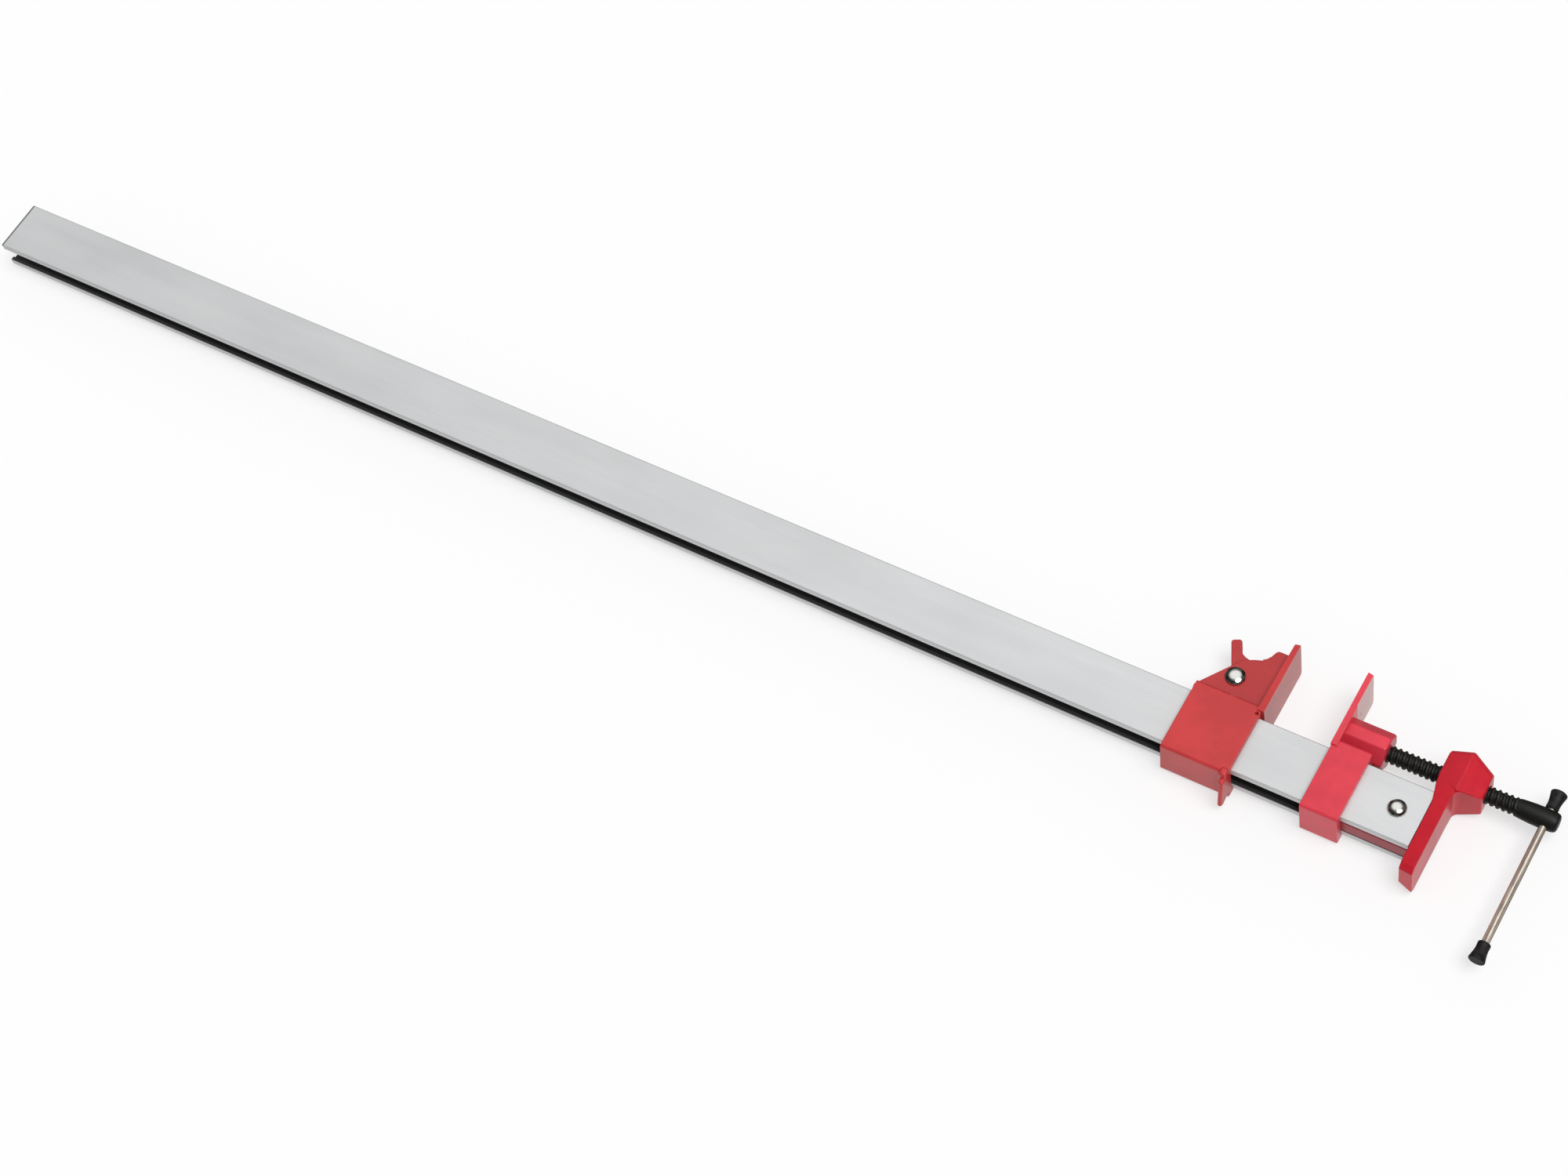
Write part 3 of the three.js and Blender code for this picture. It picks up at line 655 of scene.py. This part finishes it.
def make_bar():
    """A channel, open in a slot along one edge and notched along the other."""
    length = (-BAR_LENGTH, 0)
    through = (-BAR_LENGTH - OVER, OVER)
    bar = block("bar_extrusion", x=length, y=(-BAR_EDGE, BAR_EDGE), z=(-BAR_FACE, BAR_FACE))
    bevel(bar, width=0.8, steps=4, test=along("x"))
    inner = BAR_FACE - BAR_WALL
    hollow = (BAR_LIP - BAR_EDGE, BAR_EDGE - BAR_WALL)
    channel = block("channel", x=through, y=hollow, z=(-inner, inner))
    bevel(channel, width=0.7, steps=3, test=along("x"))
    lip = (-BAR_EDGE - OVER, BAR_LIP + OVER - BAR_EDGE)
    slot = block("slot", x=through, y=lip, z=(-SLOT_HALF, SLOT_HALF))
    hole = shank_hole(BRACKET_RIVET_X, 0)
    notch = block(
        "notch",
        x=(-NOTCH_FIRST - NOTCH_HALF_LENGTH, NOTCH_HALF_LENGTH - NOTCH_FIRST),
        y=(BAR_EDGE - BAR_WALL - OVER, BAR_EDGE + OVER),
        z=(-NOTCH_HALF_WIDTH, NOTCH_HALF_WIDTH),
    )
    bevel(notch, width=1, steps=3, test=along("y"))
    apply_modifier(
        notch,
        "ARRAY",
        count=NOTCH_COUNT,
        use_relative_offset=False,
        use_constant_offset=True,
        constant_offset_displace=(-NOTCH_PITCH * MM, 0, 0),
    )
    cut(bar, channel, slot, hole, notch)
    soften(bar, width=0.25, steps=2, angle=60)
    return smooth(bar)


# Castings


def tapered_block(name, sections):
    """A block through sections along the bar: x, lowest y, highest y and half width."""
    (x0, low0, high0, half0), (x1, low1, high1, half1) = sections[:2]
    piece = block(name, x=(x0, x1), y=(low1, high1), z=(-half1, half1))
    fit_face(piece, (-1, 0, 0), (x0, low0, -half0), (x0, high0, half0))
    for x, low, high, half in sections[2:]:
        fit_face(piece, (1, 0, 0), (x, low, -half), (x, high, half), extrude=True)
    return piece


def make_bracket():
    """A plate over the bar's end, the screw's boss, and a tongue and rib inside the channel."""
    plate_sections = [(0.4, -32.8, 12, 12), (9.5, -35, 12.2, 14.8)]
    plate = tapered_block("end_bracket_casting", plate_sections)
    steps_up = [(-0.9, 9.6, 18, 15.2), (-2.4, 9.8, 24, 15.8), (-3, 10, 30, 16.2)]
    for left, right, y, half in steps_up:
        fit_face(plate, (0, 1, 0), (left, y, -half), (right, y, half), extrude=True)
    bevel(plate, width=3, steps=1, test=along("x", lambda place: place.y < 0))
    soften(plate, width=0.8, steps=3, angle=20)
    edge, face = BAR_EDGE + SEAT, BAR_FACE + SEAT
    cut(plate, block("bar_end", x=(-8, SEAT), y=(-edge, edge), z=(-face, face)))
    boss_sections = [(-3.2, 29, 48.05, 12.9), (10, 22.5, 51, 16.3), (24.6, 26.5, 44.6, 10.2)]
    boss = tapered_block("boss", boss_sections)
    bevel(boss, width=3, steps=1, test=along("x", lambda place: place.y > SCREW_Y))
    soften(boss, width=0.9)
    web = inner_corner(
        "web", x=(7.5, 13.18), y=(18.55, 24.5), half=14.3, radius=5, centre=(14.5, 18.55)
    )
    length = (TONGUE_START, 2.4)
    inner = BAR_FACE - BAR_WALL - SLIDE
    rise = (BAR_LIP + SLIDE - BAR_EDGE, BAR_EDGE - BAR_WALL - SLIDE)
    tongue = soften(block("tongue", x=length, y=rise, z=(-inner, inner)), width=0.8)
    lip = (-BAR_EDGE, BAR_LIP + OVER - BAR_EDGE)
    rib = soften(block("rib", x=length, y=lip, z=(-RIB_HALF, RIB_HALF)), width=0.6)
    join(plate, boss, web, tongue, rib)
    bore = rod("bore", "x", radius=BRACKET_BORE, start=-6, end=27, centre=(0, SCREW_Y, 0), sides=64)
    cut(plate, bore, shank_hole(BRACKET_RIVET_X, 0))
    return smooth(plate)


def make_collar(name, ends, raised=0, drawn_in=0):
    """A collar round the bar; its top can be raised and its near end drawn in at the front."""
    height = (-COLLAR_EDGE, COLLAR_EDGE + raised)
    collar = block(name, x=ends, y=height, z=(-COLLAR_FACE, COLLAR_FACE))
    if drawn_in:
        trim(collar, place=(ends[0], 0, -COLLAR_FACE), normal=(-2 * COLLAR_FACE, 0, drawn_in))
    bevel(collar, width=COLLAR_CORNER, steps=5, test=along("x"))
    return soften(collar, width=0.5, steps=2, angle=60)


def collar_bore(start, end):
    """A cutter for a collar's opening, the bar's size with its play."""
    edge, face = BAR_EDGE + SLIDE, BAR_FACE + SLIDE
    return block("collar_bore", x=(start - OVER, end + OVER), y=(-edge, edge), z=(-face, face))


def jaw_plate(name, face, back_root, back_top, foot, tip, front_side):
    """A plate from its clamping face to its back, thinner at the tip and drafted to its back."""
    low, high = sorted((face, back_root))
    plate = block(name, x=(low, high), y=(foot, tip), z=(-PLATE_HALF, PLATE_HALF))
    half, drafted_tip = PLATE_HALF - PLATE_DRAFT, tip - PLATE_DRAFT
    back = (-front_side, 0, 0)
    fit_face(plate, back, (back_root, foot, -half), (back_root, drafted_tip, half))
    shift = (back_top - back_root) * MM
    pick(plate, "VERT", lambda place: place.y > tip - 1 and abs(place.x - back_root) < 0.1)
    bpy.ops.transform.translate(value=(shift, 0, 0))
    bpy.ops.object.mode_set(mode="OBJECT")
    front_corner = along("x", lambda place: place.y > tip - 1 and place.z > 0)
    bevel(plate, width=1, steps=2, test=front_corner)
    back_corner = along("x", lambda place: place.y > tip - 1 and place.z < 0)
    bevel(plate, width=2.8, steps=3, test=back_corner)
    tip_edges = along("z", lambda place: place.y > tip - 1)
    bevel(plate, width=1.5, steps=4, test=tip_edges)
    return soften(plate, width=0.7, steps=3, angle=35)


def make_head_jaw():
    """A collar, the jaw's plate and the eight-sided boss that the screw's tip turns in."""
    jaw = make_collar("head_jaw_casting", HEAD_COLLAR, raised=0.3)
    plate = jaw_plate(
        "plate",
        HEAD_FACE,
        back_root=-61.7,
        back_top=-62,
        foot=19.45,
        tip=HEAD_TIP,
        front_side=-1,
    )
    height = (SCREW_Y - BOSS_HALF, SCREW_Y + BOSS_HALF)
    boss = block("boss", x=(-64, BOSS_END), y=height, z=(-BOSS_HALF, BOSS_HALF))
    bevel(boss, width=BOSS_CORNER, steps=1, test=along("x"))
    bevel(boss, width=1, steps=1, test=lambda place, way: abs(place.x - BOSS_END) < 0.1)
    soften(boss, width=0.9)
    join(jaw, plate, boss)
    axis = (0, SCREW_Y, 0)
    pit = rod("pit", "x", radius=0.9, start=-62.7, end=-61, centre=(0, 51.8, -0.4), sides=20)
    tip_bore = rod(
        "tip_bore",
        "x",
        radius=TIP_RADIUS + TIP_PLAY,
        start=TIP_END - TIP_PLAY,
        end=BOSS_END + OVER,
        centre=axis,
    )
    pin_bore = rod(
        "pin_bore",
        "z",
        radius=PIN_RADIUS + PIN_PLAY,
        start=-15,
        end=PIN_TOP + PIN_PLAY,
        centre=(*PIN_SPOT, 0),
        sides=24,
    )
    cut(jaw, collar_bore(*HEAD_COLLAR), tip_bore, pin_bore, pit)
    return smooth(jaw)


def make_cheeks():
    """The cheeks as one block: a sloping lower part and a crest, with the corner between."""
    side = (-CHEEK_HALF, CHEEK_HALF)
    lower = block("cheeks", x=(TAIL_COLLAR[0], IN_TAIL_PLATE), y=(21.4, 59.2), z=side)
    slopes = [((-152.4, 28.2, 0), (-21.7, 15.6, 0)), ((-136.4, 51.1, 0), (-2.6, 7.2, 0))]
    slopes.append(((-129.2, 53.8, 0), (-3.3, 6.9, 0)))
    for place, normal in slopes:
        trim(lower, place=place, normal=normal)
    soften(lower, width=0.7, steps=3, angle=20)
    crest = block("crest", x=(-124.35, IN_TAIL_PLATE), y=(45, CHEEK_TOP), z=side)
    trim(crest, place=(-121, 63.2, 0), normal=(-4.56, 1.8, 0))
    bevel(crest, width=1.6, steps=3, test=along("z", lambda place: place.y > 60 and place.x < -115))
    soften(crest, width=0.7, steps=3, angle=35)
    corner = inner_corner(
        "corner",
        x=(-125.8, -121.5),
        y=(51, 58.6),
        half=CHEEK_HALF,
        radius=6,
        centre=(-128.4, 60.85),
    )
    return join(lower, crest, corner)


def make_foot():
    """The small fin under the tail jaw's plate, cut askew at its end, and its rounded root."""
    low, half = -36, 12.6
    foot = block("foot", x=(-114.4, IN_TAIL_PLATE), y=(low, -21), z=(-half, half))
    fit_face(foot, (0, -1, 0), (-112.6, low, -half), (IN_TAIL_PLATE, low, half))
    cuts = [((-111, -32, 1.5), (0, -22.5, 4.3)), ((-111, -24, -9), (0, 3.8, -9))]
    cuts.append(((-111, -33, -10.3), (0, -3, -4)))
    for place, normal in cuts:
        trim(foot, place=place, normal=normal)
    soften(foot, width=0.9, steps=3, angle=20)
    root = block("root", x=(-115.4, IN_TAIL_PLATE), y=(-26.4, -20.5), z=(8, 16.4))
    return join(foot, soften(root, width=1.7, steps=4))


def make_tail_jaw():
    """A collar, cheeks, the jaw's plate and foot, with the lever's well cut between the cheeks."""
    start = TAIL_COLLAR[0]
    jaw = make_collar("tail_jaw_casting", TAIL_COLLAR, raised=0.9, drawn_in=1.6)
    cut(jaw, rod("recess", "z", radius=1.3, start=13, end=18, centre=(-112.3, 18.9, 0), sides=24))
    plate = jaw_plate(
        "plate",
        TAIL_FACE,
        back_root=-113.1,
        back_top=-112.1,
        foot=21.05,
        tip=TAIL_TIP,
        front_side=1,
    )
    join(jaw, make_cheeks(), plate, make_foot())
    slot = (-CHEEK_SLOT_HALF, CHEEK_SLOT_HALF)
    top = CHEEK_TOP + 1.5
    well_start, well_end = PIVOT[0] - 17.9, PIVOT[0] + 6.8
    well = block("well", x=(well_start, well_end), y=(BAR_EDGE - OVER, top), z=slot)
    rear = (start - OVER, well_start + OVER)
    rear_slot = block("rear_slot", x=rear, y=(COLLAR_EDGE, top), z=slot)
    ledge, shelf_end = 41.45, -125.5
    shelf = block("shelf", x=(well_end - OVER, shelf_end), y=(ledge, top), z=slot)
    cut(jaw, collar_bore(start, TAIL_FACE), well, rear_slot, shelf, shank_hole(*PIVOT))
    return smooth(jaw)


def make_lever():
    """A barrel round the rivet, an arm down to the tooth, and a shoulder and finger above."""
    x, y = PIVOT
    thick, thin = (-LEVER_HALF, LEVER_HALF), (-FINGER_HALF, FINGER_HALF)
    lever = rod(
        "lever_casting",
        "z",
        radius=LEVER_RADIUS,
        start=-LEVER_HALF,
        end=LEVER_HALF,
        centre=(x, y, 0),
        sides=64,
    )
    soften(lever, width=0.5, steps=2, angle=60)
    tooth = block("tooth", x=(x - 12, x - 7), y=(TOOTH_LOW, TOOTH_TOP), z=thick)
    soften(tooth, width=0.4, steps=2)
    drop = y - TOOTH_TOP
    arm = block("arm", x=(x - 12, x), y=(TOOTH_TOP, y), z=thick)
    trim(arm, place=(x - 7, TOOTH_TOP, 0), normal=(5.15, -7, 0))
    trim(arm, place=(x - 6.5, y, 0), normal=(-drop, 5.5, 0))
    soften(arm, width=0.4, steps=2)
    finger = block("finger", x=(x - 2.66, x + 3.9), y=(y + 2, y + 29.45), z=thin)
    bevel(finger, width=1.7, steps=4, test=along("z", lambda place: place.y > y + 20))
    soften(finger, width=0.6, steps=3, angle=40)
    pick(finger, "FACE", lambda place, normal: True)
    bpy.ops.transform.rotate(
        value=math.radians(-FINGER_LEAN), orient_axis="Z", center_override=spot(x, y, 0)
    )
    bpy.ops.object.mode_set(mode="OBJECT")
    shoulder = block("shoulder", x=(x - 6.7, x + 2.2), y=(y, y + 22), z=thin)
    trim(shoulder, place=(x - 1.3, y + 17.8, 0), normal=(0.25, 1, 0))
    soften(shoulder, width=0.6, steps=3, angle=12)
    corner = inner_corner(
        "corner",
        x=(x - 8, x - 2.7),
        y=(y + 16, y + 20.6),
        half=FINGER_HALF,
        radius=4.5,
        centre=(x - 1.65, y + 22.55),
    )
    join(lever, tooth, arm, shoulder, finger, corner)
    spring_seat = rod("spring_seat", "z", radius=7.4, start=0.6, end=8, centre=(x, y, 0), sides=64)
    cut(lever, shank_hole(x, y, reach=8), spring_seat)
    return smooth(lever)


# Turned pieces


def dome(seat, width):
    """Half a rivet's profile, from its shank outwards, over the head to its top."""
    steps = 10
    arc = [math.radians(90 * i / steps) for i in range(steps)]
    rise = RIVET_HEIGHT - RIVET_EDGE
    head = [(width * math.cos(a), seat + RIVET_EDGE + rise * math.sin(a)) for a in arc]
    foot = [(SHANK_RADIUS, seat), (width - RIVET_EDGE, seat)]
    return [*foot, *head, (0.35, seat + RIVET_HEIGHT)]


def make_rivet(name, x, y, grip, width):
    """A rivet with a dome at both ends, round what it grips."""
    half = dome(grip + RIVET_LIFT, width)
    other = [(radius, -place) for radius, place in reversed(half)]
    return smooth(turned(name, "z", (x, y, 0), other + half), angle=40)


def make_thread():
    """One pitch of the thread's outline, drawn out point by point and then wound up the screw."""
    thread_start = BOSS_END + 0.3
    start = thread_start - PITCH
    core, crest = THREAD_CORE, THREAD_CREST
    outline = [(0.22, core), (0.3, core + 0.18), (0.42, crest - 0.14), (0.5, crest)]
    outline += [(0.68, crest), (0.76, crest - 0.14), (0.9, core + 0.18), (1, core)]
    deselect()
    bpy.ops.mesh.primitive_plane_add(size=MM, location=(0, 0, core * MM))
    thread = bpy.context.object
    bpy.ops.object.transform_apply(location=True, rotation=True, scale=True)
    bpy.ops.object.mode_set(mode="EDIT")
    bpy.ops.mesh.select_mode(type="VERT")
    bpy.ops.mesh.select_all(action="SELECT")
    bpy.ops.mesh.merge(type="CENTER")
    share, radius = 0, core
    for next_share, next_radius in outline:
        bpy.ops.mesh.extrude_region_move()
        step = ((next_share - share) * PITCH * MM, 0, (next_radius - radius) * MM)
        bpy.ops.transform.translate(value=step)
        share, radius = next_share, next_radius
    bpy.ops.object.mode_set(mode="OBJECT")
    turns = math.ceil((THREAD_END - start) / PITCH) + 1
    apply_modifier(
        thread,
        "SCREW",
        axis="X",
        angle=2 * math.pi,
        screw_offset=PITCH * MM,
        iterations=turns,
        steps=48,
        render_steps=48,
        use_merge_vertices=True,
        merge_threshold=1e-6,
    )
    thread.location = spot(start, SCREW_Y, 0)
    only(thread)
    bpy.ops.object.transform_apply(location=True, rotation=True, scale=True)
    trim(thread, place=(thread_start, SCREW_Y, 0), normal=(-1, 0, 0))
    trim(thread, place=(THREAD_END, SCREW_Y, 0), normal=(1, 0, 0))
    only(thread)
    bpy.ops.object.mode_set(mode="EDIT")
    bpy.ops.mesh.select_all(action="SELECT")
    bpy.ops.mesh.remove_doubles(threshold=1e-7)
    bpy.ops.mesh.normals_make_consistent(inside=False)
    bpy.ops.object.mode_set(mode="OBJECT")
    return thread


def make_screw():
    """The thread, the grooved tip that turns in the jaw, and the hub that the handle crosses."""
    centre = (0, SCREW_Y, 0)
    screw = make_thread()
    screw.name = "screw_forging"
    full, chamfer, deep = TIP_RADIUS, 0.5, GROOVE_RADIUS
    tip_profile = [(full - chamfer, TIP_END), (full, TIP_END + chamfer)]
    tip_profile += [(full, GROOVE[0]), (deep, GROOVE[0]), (deep, GROOVE[1]), (full, GROOVE[1])]
    tip_profile += [(full, BOSS_END + OVER)]
    tip = turned("tip", "x", centre, tip_profile)
    hub_profile = [(4.2, THREAD_END - 2), (5.2, THREAD_END - 1), (5.6, THREAD_END + 0.4)]
    hub_profile += [(5.9, THREAD_END + 4), (6.2, 52), (6.3, 58), (6.25, 62), (6, 65)]
    hub_profile += [(5.5, 66.5), (4.8, 67.3), (3.9, HUB_END)]
    hub = turned("hub", "x", centre, hub_profile)
    join(screw, tip, hub)
    cross_hole = rod(
        "cross_hole",
        "y",
        radius=HANDLE_RADIUS + HANDLE_PLAY,
        start=SCREW_Y - 9,
        end=SCREW_Y + 9,
        centre=(HANDLE_X, 0, 0),
    )
    cut(screw, cross_hole)
    return smooth(screw, angle=40)


def make_handle_bar():
    """The rod, which ends a little short of the bottom of each cap's bore."""
    cover = CAP_LENGTH - CAP_BORE + HANDLE_PLAY
    start, end = HANDLE_BOTTOM + cover, HANDLE_TOP - cover
    full, chamfer = HANDLE_RADIUS, 0.5
    profile = [(full - chamfer, start), (full, start + chamfer)]
    profile += [(full, end - chamfer), (full - chamfer, end)]
    return smooth(turned("handle_rod", "y", (HANDLE_X, 0, 0), profile))


def make_cap(name, end, side):
    """A flared cap: its bore, its mouth, a waist and the wide closed end."""
    mouth = end - side * CAP_LENGTH
    bore = HANDLE_RADIUS + 0.15
    outside = [(3.5, -0.1), (3.85, 0.25), (3.9, 1.2), (3.78, 2.8), (3.82, 4.6), (4.1, 6.6)]
    outside += [(4.5, 8.6), (4.85, 10.2), (5, 10.8), (4.95, 11.3), (4.7, 11.6), (4.3, 11.7)]
    profile = [(bore, mouth + side * CAP_BORE), (bore, mouth - side * 0.1)]
    profile += [(radius, mouth + side * place) for radius, place in outside]
    return smooth(turned(name, "y", (HANDLE_X, 0, 0), profile), angle=40)


def make_pin():
    """A pin with chamfered ends, through the jaw's boss beside the groove."""
    x, y = PIN_SPOT
    profile = [(0.9, -11.5), (PIN_RADIUS, -11.1), (PIN_RADIUS, PIN_TOP - 0.35), (0.95, PIN_TOP)]
    return smooth(turned("retaining_pin", "z", (x, y, 0), profile, sides=32))


def make_spring():
    """A leg up the lever, the coil and a leg across to the ledge, swept as one round wire."""
    x, y = PIVOT
    radius, pitch, turns, steps = 4.2, 1.35, 2.75, 24
    wire_radius, start = 0.45, 1.35
    leg_top, leg_bottom, leg_across = 11, 5, 8.6
    points = [(x + radius, y + leg_top, start), (x + radius, y + leg_bottom, start)]
    for i in range(int(turns * steps) + 1):
        angle = -2 * math.pi * i / steps
        right, up = radius * math.cos(angle), radius * math.sin(angle)
        points.append((x + right, y + up, start + pitch * i / steps))
    points.append((x + leg_across, y + radius, start + pitch * turns))
    curve = bpy.data.curves.new("lever_spring_wire", "CURVE")
    curve.dimensions = "3D"
    curve.bevel_depth = wire_radius * MM
    curve.bevel_resolution = 3
    curve.use_fill_caps = True
    path = curve.splines.new("POLY")
    path.points.add(len(points) - 1)
    for point, place in zip(path.points, points):
        point.co = (*spot(*place), 1)
    spring = bpy.data.objects.new("lever_spring_wire", curve)
    bpy.context.scene.collection.objects.link(spring)
    only(spring)
    bpy.ops.object.convert(target="MESH")
    return smooth(bpy.context.object, angle=40)


def dress(piece, material, body, node):
    """Gives a piece its material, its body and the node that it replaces."""
    piece.data.materials.clear()
    piece.data.materials.append(material)
    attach(piece, body)
    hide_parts(node)


tail_red = casting_paint(
    "tail_jaw_paint",
    (0.54, 0.027, 0.029),
    roughness=0.34,
    # Painted shade on the cheeks and at the step from the collar's top down to them.
    painted_shade={"x_above": -160, "y_above": 23.2, "z_below": 15.3, "strength": 0.45},
    # Painted pale sheen on the clamping face.
    painted_sheen={"x_above": -108.7, "y_above": 18, "strength": 0.3},
)
head_red = casting_paint(
    "head_jaw_paint",
    (0.68, 0.035, 0.06),
    roughness=0.3,
    density=1.45,
    # Painted shade on the boss's sloping facets and the faces beside them, below its top flat.
    painted_shade={"x_above": -61.6, "y_above": 19, "z_below": 11.4, "strength": 0.5},
    # Painted pale sheen on the back of the plate above the boss.
    painted_sheen={"x_above": -62.2, "y_above": 47.2, "strength": 1},
)
bracket_red = casting_paint(
    "bracket_paint",
    (0.54, 0.008, 0.022),
    roughness=0.28,
    density=1.33,
    # Painted shadow on the rib in the bar's slot.
    painted_shadow={"x_below": 0.3, "y_below": -18.4, "strength": 0.5},
)
pin_steel = plain_steel("pin_steel", (0.5, 0.5, 0.5))
rubber = moulded_rubber()

dress(make_bar(), extruded_aluminium(), "frame", "bar")
dress(make_bracket(), bracket_red, "frame", "end_bracket")
dress(
    make_rivet(
        "bracket_rivet_chrome", BRACKET_RIVET_X, 0, grip=BAR_FACE, width=BRACKET_RIVET_RADIUS
    ),
    chrome_dome("bracket_rivet_chrome", spot(BRACKET_RIVET_X, 0, 0), BRACKET_RIVET_RADIUS),
    "frame",
    "bracket_rivet",
)
dress(make_head_jaw(), head_red, "head", "head_jaw")
dress(make_pin(), pin_steel, "head", "screw_retaining_pin")
dress(make_screw(), black_screw(), "screw", "screw")
dress(make_handle_bar(), bright_rod(), "handle", "handle_bar")
upper_cap = make_cap("upper_cap", end=HANDLE_TOP, side=1)
dress(upper_cap, rubber, "handle", "handle_cap_upper")
lower_cap = make_cap("lower_cap", end=HANDLE_BOTTOM, side=-1)
dress(lower_cap, rubber, "handle", "handle_cap_lower")
dress(make_tail_jaw(), tail_red, "tail", "tail_jaw")
dress(
    make_rivet("lever_rivet_chrome", *PIVOT, grip=CHEEK_HALF, width=LEVER_RIVET_RADIUS),
    chrome_dome("lever_rivet_chrome", spot(*PIVOT, 0), LEVER_RIVET_RADIUS),
    "tail",
    "lever_rivet",
)
dress(make_lever(), tail_red, "lever", "lock_lever")
spring = make_spring()
spring.data.materials.append(plain_steel("spring_steel", (0.38, 0.38, 0.4)))
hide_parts("lever_spring")
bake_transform(spring)


# Studio


def make_floor():
    """A pale floor that keeps a faint shadow, mixed with white where the camera sees it."""
    whiteness = 0.6
    deselect()
    bpy.ops.mesh.primitive_plane_add(size=14)
    floor = settle("studio_floor")
    finish = Finish("studio_floor", Base_Color=(0.9, 0.9, 0.9, 1), Roughness=0.9)
    seen = finish.node("LightPath", {}, output="Is Camera Ray")
    white = finish.node("Emission", {"Color": (1, 1, 1, 1), "Strength": 1.0})
    floor_light = Value(finish, finish.shader.outputs[0])
    mixed = finish.node("MixShader", {0: seen * whiteness, 1: floor_light, 2: white})
    finish.feed(finish.tree.nodes["Material Output"].inputs["Surface"], mixed)
    floor.data.materials.append(finish.material)
    floor.visible_glossy = False


def make_world():
    """White to the camera; even light; a soft box above and a pale ground in reflections."""
    world = bpy.data.worlds.new("studio_world")
    bpy.context.scene.world = world
    world.use_nodes = True
    studio = Nodes(world.node_tree)
    way = studio.node("TexCoord", {}, output="Generated")
    box_way = Vector((-0.2, 0.4, 0.89)).normalized()
    nearness = studio.node(
        "VectorMath", {0: way, 1: box_way}, output="Value", operation="DOT_PRODUCT"
    )
    soft_box = studio.spread(nearness, 0.82, 0.97) * 0.9
    height = studio.parts(way)[2]
    ground = studio.spread(height, -0.45, -0.8) * 0.72
    clear = studio.node("LightPath", {}, output="Is Camera Ray")
    clear = clear + studio.node("LightPath", {}, output="Is Transmission Ray")
    mirrored = studio.node("LightPath", {}, output="Is Glossy Ray")
    faint, even = 0.1, 0.5
    reflected = soft_box + ground + faint
    strength = clear + (1 - clear) * (mirrored * reflected + (1 - mirrored) * even)
    background = world.node_tree.nodes["Background"]
    background.inputs["Color"].default_value = (1, 1, 1, 1)
    studio.feed(background.inputs["Strength"], strength)


def make_lamp():
    """One broad sun, almost overhead."""
    lamp = bpy.data.lights.new("studio_lamp", "SUN")
    lamp.energy = 2.0
    lamp.angle = math.radians(35)
    sun = bpy.data.objects.new("studio_lamp", lamp)
    sun.rotation_euler = Vector((0.35, -0.05, 0.93)).to_track_quat("Z", "Y").to_euler()
    bpy.context.scene.collection.objects.link(sun)


def make_camera():
    """A camera at the photograph's place, given by its right, its back and its position."""
    camera = bpy.data.cameras.new("photo_camera")
    camera.sensor_fit = "HORIZONTAL"
    camera.sensor_width = 36
    camera.lens = 66.8
    camera.clip_end = 20
    holder = bpy.data.objects.new("photo_camera", camera)
    right = Vector((0.8494, 0.5023, -0.1618)).normalized()
    back = Vector((0.3816, -0.3730, 0.8457)).normalized()
    up = back.cross(right).normalized()
    right = up.cross(back)
    place = spot(275.4, -697.3, 1536.6)
    holder.matrix_world = Matrix(
        [(right[i], up[i], back[i], place[i]) for i in range(3)] + [(0, 0, 0, 1)]
    )
    bpy.context.scene.collection.objects.link(holder)
    bpy.context.scene.camera = holder


make_floor()
make_world()
make_lamp()
make_camera()
bpy.context.scene.view_settings.view_transform = "Standard"
